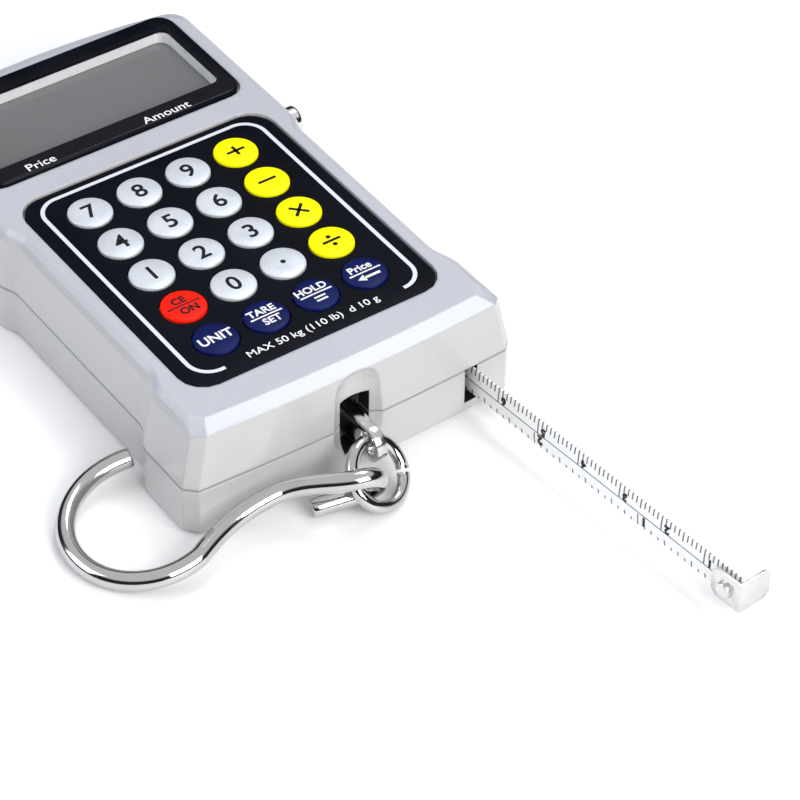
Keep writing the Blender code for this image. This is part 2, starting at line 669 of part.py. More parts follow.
# ---- hanger plate -----------------------------------------------------------
plate_outline = []
for step in range(13):
    angle = math.radians(-90.0 + 180.0 * step / 12.0)
    plate_outline.append((PIN_PLACE[0] + PLATE_R * math.cos(angle), PIN_PLACE[1] + PLATE_R * math.sin(angle)))
for step in range(13):
    angle = math.radians(90.0 + 180.0 * step / 12.0)
    plate_outline.append((PLATE_END_Y + PLATE_R * math.cos(angle), PIN_PLACE[1] + PLATE_R * math.sin(angle)))
plate = prism(plate_outline, -PLATE_HALF, PLATE_HALF, "X")
carve(plate, rod(PIN_R + GAP, -CUT, CUT, PIN_PLACE, "X", 16))
carve(plate, rod(RING_HOLE_R, -CUT, CUT, RING_HOLE_PLACE, "X", 20))
finish(plate, "hanger_plate", "steel", (0.0, PIN_PLACE[0], PIN_PLACE[1]), smooth=28)

# ---- link ring --------------------------------------------------------------
ring_normal = Vector(RING_NORMAL).normalized()
ring_centre = Vector(RING_CENTRE)
to_hole = Vector((0.0, RING_HOLE_PLACE[0], RING_HOLE_PLACE[1])) - ring_centre
ring_up = (to_hole - ring_normal * to_hole.dot(ring_normal)).normalized()
ring_side = ring_normal.cross(ring_up)


def ring_path(centre, up, side, radius, steps):
    points = []
    for step in range(steps):
        angle = 2.0 * math.pi * step / steps
        points.append(centre + up * (radius * math.cos(angle)) + side * (radius * math.sin(angle)))
    return points


link_ring = wire(ring_path(ring_centre, ring_up, ring_side, RING_R, 36), RING_WIRE_R, 10, closed=True)
finish(link_ring, "link_ring", "steel", tuple(ring_centre + ring_up * RING_R), smooth=60)


# ---- weighing hook ----------------------------------------------------------
def bend(start, leave, end, arrive, pull, steps):
    """Smooth curve between two points with the directions held at both ends."""
    first = start + leave * pull
    second = end - arrive * pull
    points = []
    for step in range(1, steps):
        t = step / steps
        points.append(start * (1.0 - t) ** 3 + first * (3.0 * t * (1.0 - t) ** 2)
                      + second * (3.0 * t * t * (1.0 - t)) + end * t ** 3)
    return points


def hook_plane(across, along):
    """A place on the hook's slightly tilted plane."""
    lift = HOOK_LOW[1] + HOOK_PLANE_RISE * (across - HOOK_LOW[0])
    return Vector((across, along, lift))


def hook_path():
    centre = Vector(EYE_CENTRE)
    down = Vector(EYE_DOWN).normalized()
    out = Vector(EYE_OUT)
    out = (out - down * out.dot(down)).normalized()
    bottom = centre + down * EYE_R
    top = centre - down * EYE_R
    tail_end = bottom - out * TAIL_LENGTH
    tail_end.z = HOOK_WIRE_R + GAP
    points = [tail_end, mix(tail_end, bottom, 0.5)]
    for step in range(13):
        angle = math.pi * step / 12.0
        points.append(centre + down * (EYE_R * math.cos(angle)) + out * (EYE_R * math.sin(angle)))
    heading = math.radians(SHANK_HEADING)
    place = Vector(SHANK_START)
    start = hook_plane(place.x, place.y)
    ahead = Vector((math.cos(heading), math.sin(heading), HOOK_PLANE_RISE * math.cos(heading))).normalized()
    points += bend(top, -out, start, ahead, EYE_R * 1.1, 7)
    points.append(start)
    for radius, turn in HOOK_BENDS:
        steps = max(3, round(abs(turn) / 9.0))
        swing = math.radians(turn) / steps
        chord = 2.0 * radius * math.sin(abs(swing) / 2.0)
        for step in range(steps):
            middle = heading + swing / 2.0
            place = place + Vector((chord * math.cos(middle), chord * math.sin(middle)))
            heading += swing
            points.append(hook_plane(place.x, place.y))
    return points


hook = wire(hook_path(), HOOK_WIRE_R, 10)
finish(hook, "weighing_hook", "steel", EYE_CENTRE, smooth=50)

# ---- top hanger -------------------------------------------------------------
top_middle_z = (TOP_PLATE_Z[0] + TOP_PLATE_Z[1]) / 2.0
top_r = (TOP_PLATE_Z[1] - TOP_PLATE_Z[0]) / 2.0
top_outline = [(TOP_HEAD_Y[0], TOP_PLATE_Z[0])]
for step in range(13):
    angle = math.radians(-90.0 + 180.0 * step / 12.0)
    top_outline.append((TOP_HOLE_Y + top_r * math.cos(angle), top_middle_z + top_r * math.sin(angle)))
top_outline.append((TOP_HEAD_Y[0], TOP_PLATE_Z[1]))
top_plate = prism(top_outline, -TOP_PLATE_HALF, TOP_PLATE_HALF, "X")
join(top_plate, box(-TOP_HEAD_HALF, TOP_HEAD_HALF, TOP_HEAD_Y[0], TOP_HEAD_Y[1],
                    TOP_PLATE_Z[0], TOP_PLATE_Z[1]))
carve(top_plate, rod(TOP_HOLE_R, -CUT, CUT, (TOP_HOLE_Y, top_middle_z), "X", 20))
finish(top_plate, "top_hanger_plate", "steel", smooth=28)

lean = math.radians(TOP_RING_LEAN)
top_down = Vector((0.0, math.cos(lean), -math.sin(lean)))
top_across = Vector((1.0, 0.0, 0.0))
top_hang = Vector((0.0, TOP_HOLE_Y, top_middle_z))
top_ring = wire(ring_path(top_hang + top_down * TOP_RING_R, top_down, top_across, TOP_RING_R, 36),
                TOP_RING_WIRE_R, 10, closed=True)
finish(top_ring, "top_ring", "steel", tuple(top_hang), smooth=60)

# ---- tape measure -----------------------------------------------------------
splay = math.radians(TAPE_SPLAY)
tape_along = Vector((math.sin(splay), -math.cos(splay), 0.0))
tape_across = Vector((math.cos(splay), math.sin(splay), 0.0))
tape_mouth = Vector((TAPE_X, 0.0, 0.0))


def on_tape(along, across, z):
    """A place measured along the blade from the hook end, out from its middle, and up."""
    return tape_mouth + tape_along * along + tape_across * across + Vector((0.0, 0.0, z))


def tape_section(along):
    """The blade's slightly dished cross section."""
    low, high = TAPE_Z
    outer = []
    inner = []
    for step in range(5):
        t = step / 4.0
        z = mix(low, high, t)
        bow = TAPE_BOW * (2.0 * t - 1.0) ** 2
        outer.append(on_tape(along, bow + TAPE_THICK / 2.0, z))
        inner.append(on_tape(along, bow - TAPE_THICK / 2.0, z))
    return outer + inner[::-1]


def tape_pin(radius, low, high, sides=12):
    """A round pin through the blade at the rivet."""
    rings = []
    for across in (low, high):
        rings.append([on_tape(RIVET_ALONG + a, across, RIVET_Z + b) for a, b in circle(radius, sides)])
    return skin(rings)


blade = skin([tape_section(-TAPE_IN), tape_section(TAPE_OUT - END_LIP_THICK - GAP)])
carve(blade, tape_pin(RIVET_SHANK_R + GAP, -CUT, CUT))
finish(blade, "tape_blade", "tape")

plate_face = -TAPE_THICK / 2.0 - GAP
end_plate_back = plate_face - END_PLATE_THICK
low, high = END_PLATE_Z
clip = (high - low) * 0.18
end_rings = []
for across in (end_plate_back, plate_face):
    a0, a1 = END_PLATE_ALONG
    end_rings.append([on_tape(a, across, z) for a, z in (
        (a0 + clip, low), (a1, low), (a1, high), (a0 + clip, high), (a0, high - clip), (a0, low + clip))])
end_hook = skin(end_rings)
lip_rings = []
for along in (TAPE_OUT - END_LIP_THICK, TAPE_OUT):
    lip_rings.append([on_tape(along, across, z) for across, z in (
        (end_plate_back, low), (END_LIP_ACROSS - clip, low), (END_LIP_ACROSS, low + clip),
        (END_LIP_ACROSS, high - clip), (END_LIP_ACROSS - clip, high), (end_plate_back, high))])
join(end_hook, skin(lip_rings))
carve(end_hook, tape_pin(RIVET_SHANK_R + GAP, -CUT, CUT))
finish(end_hook, "tape_end_hook", "steel")

rivet_face = end_plate_back - GAP
rivet_back = TAPE_THICK / 2.0 + TAPE_BOW + GAP
rivet = tape_pin(RIVET_SHANK_R, rivet_face - GAP, rivet_back + GAP)
join(rivet, tape_pin(RIVET_R, rivet_face - RIVET_SHANK_R, rivet_face, 16),
     tape_pin(RIVET_R, rivet_back, rivet_back + RIVET_SHANK_R, 16))
finish(rivet, "tape_rivet", "steel", smooth=40)

spindle_place = (COIL_CENTRE[0], COIL_CENTRE[1], SPOOL_DISC_Z[0])
spool = rod(SPOOL_DISC_R, SPOOL_DISC_Z[0], SPOOL_DISC_Z[1], COIL_CENTRE, sides=32)
join(spool, rod(SPOOL_HUB_R[1], SPOOL_DISC_Z[1] - GAP, COIL_Z[1], COIL_CENTRE, sides=24))
carve(spool, rod(SPOOL_HUB_R[0], SPOOL_DISC_Z[1], COIL_Z[1] + CUT, COIL_CENTRE, sides=24))
carve(spool, rod(SPINDLE_R + GAP, 0.0, COIL_Z[1], COIL_CENTRE, sides=16))
finish(spool, "tape_spool", "black_plastic", spindle_place, smooth=28)

coil = rod(COIL_R[1], COIL_Z[0], COIL_Z[1], COIL_CENTRE, sides=32)
carve(coil, rod(COIL_R[0], COIL_Z[0] - CUT, COIL_Z[1] + CUT, COIL_CENTRE, sides=32))
finish(coil, "tape_coil", "tape", spindle_place, smooth=28)

finish(rod(SPINDLE_R, SPINDLE_Z[0], SPINDLE_Z[1], COIL_CENTRE, sides=16),
       "tape_spindle", "steel", smooth=40)

spring_outer = []
spring_inner = []
spring_steps = round(SPRING_TURNS * 14)
for step in range(spring_steps + 1):
    t = step / spring_steps
    angle = 2.0 * math.pi * SPRING_TURNS * t
    r = mix(SPRING_R[0], SPRING_R[1], t)
    direction = (math.cos(angle), math.sin(angle))
    for offset, line in ((SPRING_THICK / 2.0, spring_outer), (-SPRING_THICK / 2.0, spring_inner)):
        line.append((COIL_CENTRE[0] + (r + offset) * direction[0], COIL_CENTRE[1] + (r + offset) * direction[1]))
finish(prism(spring_outer + spring_inner[::-1], COIL_Z[0] + GAP, COIL_Z[1] - GAP),
       "tape_spring", "steel", spindle_place)

retainer = rod(RETAINER_R, RETAINER_Z[0], RETAINER_Z[1], COIL_CENTRE, sides=24)
carve(retainer, rod(SPINDLE_R + GAP, RETAINER_Z[0] - CUT, RETAINER_Z[1] + CUT, COIL_CENTRE, sides=16))
finish(retainer, "spool_retainer", "steel", smooth=28)

# ---- tape lock --------------------------------------------------------------
button_flat = BUTTON_APEX_X - BUTTON_CROWN
release = lathe((
    (BUTTON_STEM_R, BUTTON_STEM_X),
    (BUTTON_STEM_R, BUTTON_FLANGE_X[0]),
    (BUTTON_FLANGE_R, BUTTON_FLANGE_X[0]),
    (BUTTON_FLANGE_R, BUTTON_FLANGE_X[1]),
    (BUTTON_R, BUTTON_FLANGE_X[1]),
    (BUTTON_R, button_flat),
    (BUTTON_CROWN_RS[0], mix(button_flat, BUTTON_APEX_X, BUTTON_CROWN_RISE)),
    (BUTTON_CROWN_RS[1], BUTTON_APEX_X),
), BUTTON_PLACE, "X", 24)
finish(release, "tape_release_button", "steel", (LEVER_PIVOT[0], LEVER_PIVOT[1], LEVER_Z[0]), smooth=40)

lever = box(LEVER_PIVOT[0] - LEVER_HALF, LEVER_PIVOT[0] + LEVER_HALF,
            LEVER_PIVOT[1], LEVER_END_Y, LEVER_Z[0], LEVER_Z[1])
brake = math.radians(BRAKE_ANGLE)
pad_x = COIL_CENTRE[0] + BRAKE_REACH * math.cos(brake)
pad_y = COIL_CENTRE[1] + BRAKE_REACH * math.sin(brake)
arm = (Vector((LEVER_PIVOT[0], LEVER_PIVOT[1])) - Vector((pad_x, pad_y))).normalized() * LEVER_HALF
arm_side = Vector((-arm.y, arm.x))
arm_outline = []
for place, sign in (((pad_x, pad_y), 1.0), (LEVER_PIVOT, 1.0), (LEVER_PIVOT, -1.0), ((pad_x, pad_y), -1.0)):
    arm_outline.append((place[0] + arm_side.x * sign, place[1] + arm_side.y * sign))
join(lever, prism(arm_outline, LEVER_Z[0], LEVER_Z[1]))
pad_in = LEVER_HALF / 2.0
pad_wide = LEVER_HALF * 2.0
pad_outline = []
for outward, sideways in ((-pad_in, -pad_wide), (pad_in, -pad_wide), (pad_in, pad_wide), (-pad_in, pad_wide)):
    pad_outline.append((pad_x + outward * math.cos(brake) - sideways * math.sin(brake),
                        pad_y + outward * math.sin(brake) + sideways * math.cos(brake)))
join(lever, prism(pad_outline, BRAKE_PAD_Z, LEVER_Z[1]))
join(lever, rod(LEVER_EYE_R, LEVER_Z[0], LEVER_Z[1], LEVER_PIVOT, sides=20))
tab_y = BUTTON_PLACE[0] - BUTTON_R
join(lever, box(LEVER_PIVOT[0] - LEVER_HALF, LEVER_PIVOT[0] + LEVER_HALF, tab_y, LEVER_END_Y,
                LEVER_Z[1] - GAP, LEVER_TAB_TOP))
carve(lever, rod(LEVER_PIN_R + GAP, 0.0, TOP_Z, LEVER_PIVOT, sides=16))
finish(lever, "brake_lever", "black_plastic", (LEVER_PIVOT[0], LEVER_PIVOT[1], LEVER_Z[0]))

pin_base = CELL_Z[0] + GAP
lever_pin = lathe(((LEVER_PIN_R, pin_base), (LEVER_PIN_R, LEVER_Z[1] + GAP),
                   (LEVER_HEAD_RS[0], LEVER_Z[1] + GAP), (LEVER_HEAD_RS[1], LEVER_Z[1] + 3.0 * GAP)),
                  LEVER_PIVOT, sides=16)
finish(lever_pin, "lever_pin", "steel", smooth=40)

# ---- batteries and contacts -------------------------------------------------
for number, (y, way) in enumerate(zip(BATTERY_YS, (1.0, -1.0)), 1):
    steps = [(CELL_AAA_EDGE_R, -CELL_AAA_HALF), (CELL_AAA_R, -CELL_AAA_HALF + GAP),
             (CELL_AAA_R, CELL_AAA_HALF - CELL_AAA_NUB - GAP),
             (CELL_AAA_EDGE_R, CELL_AAA_HALF - CELL_AAA_NUB),
             (CELL_AAA_NUB_RS[0], CELL_AAA_HALF - CELL_AAA_NUB), (CELL_AAA_NUB_RS[1], CELL_AAA_HALF)]
    battery = lathe([(r, way * x) for r, x in steps], (y, CELL_AAA_Z), "X", 20)
    finish(battery, "battery_%d" % number, "battery", smooth=40)

contact_out = POCKET_HALF - GAP
contact_in = contact_out - CONTACT_THICK
for name, sign, ys in (("battery_bridge_contact", -1.0, BATTERY_YS),
                       ("battery_plus_contact", 1.0, BATTERY_YS[:1]),
                       ("battery_minus_contact", 1.0, BATTERY_YS[1:])):
    x0, x1 = sorted((sign * contact_in, sign * contact_out))
    contact = box(x0, x1, ys[0] - CONTACT_HALF, ys[-1] + CONTACT_HALF,
                  CELL_AAA_Z - CONTACT_HALF, CELL_AAA_Z + CONTACT_HALF)
    for y in ys:
        reach = sorted((sign * (CELL_AAA_HALF + GAP), sign * (contact_in + CONTACT_THICK / 2.0)))
        join(contact, rod(CONTACT_HALF / 3.0, reach[0], reach[1], (y, CELL_AAA_Z), "X", 12))
    finish(contact, name, "steel")

# ---- case screws ------------------------------------------------------------
for number, (x, y) in enumerate(SCREW_PLACES, 1):
    screw = lathe(((SCREW_HEAD_R, SCREW_HEAD_Z[0]), (SCREW_HEAD_R, SCREW_HEAD_Z[1]),
                   (SCREW_R, SCREW_HEAD_Z[1]), (SCREW_R * 0.9, SCREW_END_Z)), (x, y), sides=14)
    for across, along in ((SCREW_HEAD_R * 0.6, GAP), (GAP, SCREW_HEAD_R * 0.6)):
        carve(screw, box(x - across, x + across, y - along, y + along, -CUT, mix(*SCREW_HEAD_Z, 0.5)))
    finish(screw, "case_screw_%d" % number, "steel", smooth=40)
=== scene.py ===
# %% [markdown]
# # A hanging scale with a price keypad and a tape measure
# This lesson dresses the finished solid model of a hand-held hanging scale. The solids give every size and
# place. Pieces that are close to the eye are modelled again with more care, and every surface gets a finish
# made of nodes: pearl plastic, black gloss, printed film, polished wire and a printed steel tape.

# %% Load the solid model
import json
import math

import bmesh
import bpy
from mathutils import Matrix, Vector


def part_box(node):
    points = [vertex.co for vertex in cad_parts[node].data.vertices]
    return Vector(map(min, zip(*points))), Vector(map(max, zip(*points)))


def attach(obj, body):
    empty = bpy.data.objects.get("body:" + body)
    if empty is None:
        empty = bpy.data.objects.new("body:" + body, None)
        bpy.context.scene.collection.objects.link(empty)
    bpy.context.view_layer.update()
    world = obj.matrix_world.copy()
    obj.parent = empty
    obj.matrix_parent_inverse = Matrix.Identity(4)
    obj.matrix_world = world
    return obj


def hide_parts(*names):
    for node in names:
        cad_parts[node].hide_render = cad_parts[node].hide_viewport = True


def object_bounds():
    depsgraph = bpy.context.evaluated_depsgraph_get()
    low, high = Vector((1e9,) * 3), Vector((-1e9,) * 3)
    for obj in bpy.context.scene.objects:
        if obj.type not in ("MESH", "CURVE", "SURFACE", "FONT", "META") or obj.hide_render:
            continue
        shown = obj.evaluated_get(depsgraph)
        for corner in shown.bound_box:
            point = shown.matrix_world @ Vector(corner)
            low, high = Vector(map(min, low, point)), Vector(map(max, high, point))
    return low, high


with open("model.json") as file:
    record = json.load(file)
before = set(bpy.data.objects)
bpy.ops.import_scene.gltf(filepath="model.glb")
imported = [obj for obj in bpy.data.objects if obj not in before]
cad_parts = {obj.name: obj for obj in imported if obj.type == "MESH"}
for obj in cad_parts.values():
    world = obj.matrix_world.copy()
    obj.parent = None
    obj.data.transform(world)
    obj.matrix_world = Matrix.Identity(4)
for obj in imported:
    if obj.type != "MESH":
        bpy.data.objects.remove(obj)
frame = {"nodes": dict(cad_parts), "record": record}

CAD_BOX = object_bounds()
MM = 0.001
print("solid model box", [list(corner) for corner in CAD_BOX])

# %% [markdown]
# ## Camera
# The scale is seen from its hook end, from the left and above, through a long lens, so that its sides stay
# almost parallel. The camera's three directions are written down and turned into its matrix.

# %% Place the camera
CAMERA_PLACE = Vector((-0.24074, -0.39788, 0.39746))
CAMERA_AHEAD = Vector((0.4336, 0.5994, -0.6729)).normalized()
CAMERA_ROLL = math.radians(1.07)
CAMERA_LENS = 154.55
level_right = CAMERA_AHEAD.cross(Vector((0.0, 0.0, 1.0))).normalized()
level_up = level_right.cross(CAMERA_AHEAD)
camera_right = level_right * math.cos(CAMERA_ROLL) + level_up * math.sin(CAMERA_ROLL)
camera_up = level_up * math.cos(CAMERA_ROLL) - level_right * math.sin(CAMERA_ROLL)
camera = bpy.data.objects.new("camera", bpy.data.cameras.new("camera"))
bpy.context.scene.collection.objects.link(camera)
camera.data.lens = CAMERA_LENS
camera.data.sensor_width = 36.0
camera.data.clip_start = 0.01
turn = Matrix((camera_right, camera_up, -CAMERA_AHEAD)).transposed()
camera.matrix_world = Matrix.Translation(CAMERA_PLACE) @ turn.to_4x4()
bpy.context.scene.camera = camera
print("camera right", [round(x, 4) for x in camera_right])

# %% [markdown]
# ## Shader values that behave like numbers
# A finish is a graph of nodes. Wiring it by hand hides the idea, so one small class wraps a socket and gives it
# the arithmetic signs. An expression such as (1 - worn) * 0.2 then adds its own Math nodes.

# %% Wrap a socket
class Value:
    """One output socket of a node graph, with arithmetic that adds Math nodes."""

    def __init__(self, graph, socket):
        self.graph = graph
        self.socket = socket

    def maths(self, operation, first, second=0.0):
        return self.graph.node("ShaderNodeMath", {"operation": operation}, {0: first, 1: second})

    def __add__(self, other):
        return self.maths("ADD", self, other)

    def __sub__(self, other):
        return self.maths("SUBTRACT", self, other)

    def __rsub__(self, other):
        return self.maths("SUBTRACT", other, self)

    def __mul__(self, other):
        return self.maths("MULTIPLY", self, other)

    def __truediv__(self, other):
        return self.maths("DIVIDE", self, other)

    def __pow__(self, other):
        return self.maths("POWER", self, other)

    def __mod__(self, other):
        return self.maths("FLOORED_MODULO", self, other)

    def __abs__(self):
        return self.maths("ABSOLUTE", self)

    def __lt__(self, other):
        return self.maths("LESS_THAN", self, other)

    def __gt__(self, other):
        return self.maths("GREATER_THAN", self, other)

    def __or__(self, other):
        return self.maths("MAXIMUM", self, other)

    def __and__(self, other):
        return self.maths("MINIMUM", self, other)

    __radd__ = __add__
    __rmul__ = __mul__


# %% [markdown]
# ## One way to add a node
# Every other node comes from one method. It takes the node's type, then its settings, then what goes into its
# sockets, which may be plain values or other sockets.

# %% A node graph and a finish
class Graph:
    """A node tree with one method that adds a node."""

    def __init__(self, tree):
        self.tree = tree

    def node(self, kind, settings=None, sockets=None, output=0):
        made = self.tree.nodes.new(kind)
        for key, value in (settings or {}).items():
            setattr(made, key, value)
        for key, value in (sockets or {}).items():
            if isinstance(value, Value):
                self.tree.links.new(value.socket, made.inputs[key])
            else:
                made.inputs[key].default_value = value
        return Value(self, made.outputs[output])

    def mix(self, share, first, second):
        colours = [c if isinstance(c, Value) else (*c, 1.0) for c in (first, second)]
        return self.node("ShaderNodeMix", {"data_type": "RGBA"}, {0: share, 6: colours[0], 7: colours[1]}, 2)

    def place(self, centre=(0.0, 0.0, 0.0), turned=0.0, scale=(1.0, 1.0, 1.0)):
        """Object coordinates, turned about Z, then moved."""
        where = self.node("ShaderNodeTexCoord", output=3)
        return self.node("ShaderNodeMapping", {}, {"Vector": where, "Location": centre,
                                                   "Rotation": (0.0, 0.0, turned), "Scale": scale})

    def axes(self, vector):
        return [self.node("ShaderNodeSeparateXYZ", {}, {0: vector}, i) for i in range(3)]

    def noise(self, vector, scale, detail=2.0, roughness=0.5):
        return self.node("ShaderNodeTexNoise", {}, {"Vector": vector, "Scale": scale, "Detail": detail,
                                                    "Roughness": roughness})

    def band(self, value, low, high):
        """Takes value from low..high to 0..1."""
        return self.node("ShaderNodeMapRange", {}, {0: value, 1: low, 2: high, 3: 0.0, 4: 1.0})


class Finish(Graph):
    """A material whose Principled shader is set by name."""

    def __init__(self, name):
        self.material = bpy.data.materials.new(name)
        self.material.use_nodes = True
        super().__init__(self.material.node_tree)
        self.shader = next(n for n in self.tree.nodes if n.type == "BSDF_PRINCIPLED")

    def set(self, **values):
        for key, value in values.items():
            socket = self.shader.inputs[key.replace("_", " ")]
            if isinstance(value, Value):
                self.tree.links.new(value.socket, socket)
            else:
                socket.default_value = (*value, 1.0) if isinstance(value, tuple) else value
        return self.material

    def bump(self, height, depth, strength=1.0, eased=0.0):
        sockets = {"Strength": strength, "Distance": depth, "Height": height}
        if eased:
            sockets["Normal"] = self.node("ShaderNodeBevel", {"samples": 6}, {"Radius": eased})
        return self.node("ShaderNodeBump", {}, sockets)


# %% [markdown]
# ## Pearl plastic for the case
# The case is moulded in a pale plastic with a fine metal powder in it, and sprayed thinly. Close up it is a grey
# ground with brighter flecks a fifth of a millimetre across. Two noises make it: a fine one for the flecks and a
# broad one for the way the powder settles. A still finer one roughens the surface, and faint long scuffs show
# where it slides on a table. Faces that look up are painted a shade bluer, a painted tint of the sky light. The
# moulding's edges are eased by about half a millimetre, which a Bevel node gives the shading without touching the
# solid. The walls of the hook slot and the tape slot are coloured black as painted shade, and lose the coat.

# %% Case finish
# Boxes round the hook slot and the tape slot, whose walls get painted shade.
HOOK_SLOT = (Vector((-2.95, -53.2, 3.95)) * MM, Vector((2.95, -30.0, 14.85)) * MM)
TAPE_SLOT = (Vector((22.25, -54.0, 2.65)) * MM, Vector((24.85, -48.0, 10.0)) * MM)
CASE_EDGE = 0.6 * MM


def inside(paint, room):
    """1 inside a box, 0 outside it."""
    low, high = room
    held = 1.0
    for place, start, end in zip(paint.axes(paint.place()), low, high):
        held = (place > start) & (place < end) & held
    return held


def case_finish():
    paint = Finish("pearl_plastic")
    where = paint.place()
    fleck = paint.band(paint.noise(where, 4200.0, 2.0, 0.7), 0.35, 0.70)
    cloud = paint.band(paint.noise(where, 60.0, 3.0, 0.55), 0.3, 0.7)
    scuff = paint.band(paint.noise(paint.place(scale=(60.0, 900.0, 200.0)), 3.0, 4.0, 0.6), 0.62, 0.75)
    # Painted light: faces that look up get a bluer colour, a painted tint of the sky light on the top.
    painted_sky_tint = paint.band(paint.axes(paint.node("ShaderNodeNewGeometry", output=1))[2], 0.35, 0.90)
    side = paint.mix(cloud, (0.440, 0.441, 0.438), (0.465, 0.466, 0.462))
    ground = paint.mix(painted_sky_tint, side, paint.mix(cloud, (0.408, 0.416, 0.468), (0.432, 0.440, 0.494)))
    flecked = paint.mix(fleck * 0.40, ground, (0.555, 0.560, 0.580))
    scuffed = paint.mix(scuff * 0.12, flecked, (0.30, 0.30, 0.33))
    # Painted shade: the walls inside the hook slot and the tape slot are coloured near black and lose their coat,
    # standing in for the shade in these recesses.
    painted_slot_shade = inside(paint, HOOK_SLOT) | inside(paint, TAPE_SLOT)
    colour = paint.mix(painted_slot_shade, scuffed, (0.003, 0.003, 0.003))
    grain = paint.noise(where, 7000.0, 2.0, 0.6)
    return paint.set(Base_Color=colour, Roughness=0.30 + fleck * 0.06 + scuff * 0.15 + painted_slot_shade * 0.4,
                     Coat_Weight=0.45 * (1.0 - painted_slot_shade), Coat_Roughness=0.16,
                     Normal=paint.bump(grain, 0.00002, 0.22, CASE_EDGE))


# %% [markdown]
# ## Black gloss, printed film and coloured keys
# The display bezel is a polished black moulding. The keypad panel is a printed film: nearly black, a little blue,
# with a white line printed round the keys. A rounded rectangle has a simple distance rule, so the line is drawn
# in the shader: points whose distance from the rectangle is under half the line's width are white. The line
# stops at the bottom, where a row of small print stands.

# %% Gloss black and the printed panel
DUST_SCALE = 2600.0


def gloss_black(name, colour):
    paint = Finish(name)
    where = paint.place()
    haze = paint.band(paint.noise(where, 90.0, 4.0, 0.6), 0.3, 0.75)
    dust = paint.band(paint.noise(where, DUST_SCALE, 2.0, 0.6), 0.64, 0.80)
    shade = paint.mix(dust * 0.06 + haze * 0.02, colour, (0.20, 0.21, 0.24))
    return paint.set(Base_Color=shade, Roughness=0.12 + haze * 0.10, Specular_IOR_Level=0.10,
                     Normal=paint.bump(haze, 0.00005, 0.15))


LINE_HALF = 0.38 * MM
LINE_BOX = (Vector((-22.3, -40.1, 0.0)) * MM, Vector((22.8, 13.3, 0.0)) * MM)
LINE_CORNER = 4.2 * MM
LINE_GAP = (-17.7 * MM, 18.2 * MM)


def panel_finish():
    paint = Finish("printed_panel")
    low, high = LINE_BOX
    middle = (low + high) / 2.0
    half = (high - low) / 2.0
    x, y, _ = paint.axes(paint.place(centre=tuple(-middle)))
    out_x = abs(x) - (half.x - LINE_CORNER)
    out_y = abs(y) - (half.y - LINE_CORNER)
    corner = ((out_x | 0.0) ** 2.0 + (out_y | 0.0) ** 2.0) ** 0.5
    distance = corner + ((out_x | out_y) & 0.0) - LINE_CORNER
    gap = (x > LINE_GAP[0]) & (x < LINE_GAP[1]) & (y < -half.y / 2.0)
    line = (abs(distance) < LINE_HALF) * (1.0 - gap)
    where = paint.place()
    grain = paint.noise(where, 5200.0, 2.0, 0.6)
    haze = paint.band(paint.noise(where, 70.0, 3.0, 0.6), 0.3, 0.75)
    film = paint.mix(haze, (0.0012, 0.0018, 0.0045), (0.0032, 0.0042, 0.0085))
    return paint.set(Base_Color=paint.mix(line, film, (0.66, 0.67, 0.71)), Roughness=0.34 + haze * 0.12,
                     Specular_IOR_Level=0.06, Normal=paint.bump(grain, 0.00002, 0.4))


# %% [markdown]
# ## Key colours
# The silver keys carry the same pearl flecks as the case but shinier. The yellow, red and navy keys are moulded
# in solid colour. A broad noise varies each colour slightly, and with it the roughness.

# %% Key finish
KEY_COLOURS = {
    "silver": ((0.53, 0.56, 0.61), (0.68, 0.71, 0.76), 0.25, 0.50),
    "yellow": ((0.95, 0.86, 0.000), (1.00, 0.93, 0.002), 0.0, 0.10),
    "red": ((0.83, 0.008, 0.002), (0.95, 0.016, 0.004), 0.0, 0.10),
    "navy": ((0.0016, 0.0050, 0.056), (0.0040, 0.0105, 0.095), 0.0, 0.10),
}


def key_finish(kind):
    dark, bright, metal, shine = KEY_COLOURS[kind]
    paint = Finish(kind + "_key_plastic")
    where = paint.place()
    fleck = paint.band(paint.noise(where, 3600.0, 2.0, 0.7), 0.35, 0.7)
    cloud = paint.band(paint.noise(where, 260.0, 2.0, 0.5), 0.3, 0.7)
    colour = paint.mix(fleck * 0.5 + cloud * 0.5, dark, bright)
    return paint.set(Base_Color=colour, Roughness=0.30 + cloud * 0.12, Metallic=metal,
                     Specular_IOR_Level=shine, Normal=paint.bump(fleck, 0.00001, 0.3))


# %% [markdown]
# ## Printing ink
# Letters are thin solids of ink. Screen-printed ink is slightly uneven at its edges and duller than the plastic.

# %% Ink finish
def ink_finish(name, colour):
    paint = Finish(name)
    blot = paint.band(paint.noise(paint.place(), 3000.0, 3.0, 0.6), 0.3, 0.75)
    thin = tuple(c * 0.86 + 0.004 for c in colour)
    return paint.set(Base_Color=paint.mix(blot, thin, colour), Roughness=0.42 + blot * 0.15,
                     Specular_IOR_Level=0.2)


# %% [markdown]
# ## Metals
# The hook, the rings and the plates are plated steel wire and strip. Polished plating mirrors its surroundings,
# so its look is mostly reflection, broken by fine drawing marks and by duller patches from handling. One recipe
# with a few numbers serves all of them.

# %% Metal finish
def metal_finish(name, colour, roughness, wear=0.10, mark_scale=(900.0, 900.0, 900.0), depth=0.00001):
    paint = Finish(name)
    patch = paint.band(paint.noise(paint.place(), 160.0, 4.0, 0.6), 0.42, 0.75)
    mark = paint.noise(paint.place(scale=mark_scale), 2.0, 3.0, 0.6)
    pit = paint.band(paint.noise(paint.place(), 2400.0, 2.0, 0.6), 0.66, 0.80)
    dull = tuple(c * 0.80 for c in colour)
    tone = paint.mix(patch * 0.5 + pit * 0.3, colour, dull)
    return paint.set(Base_Color=tone, Metallic=1.0, Roughness=roughness + patch * wear + pit * 0.12,
                     Normal=paint.bump(mark, depth, 0.35))


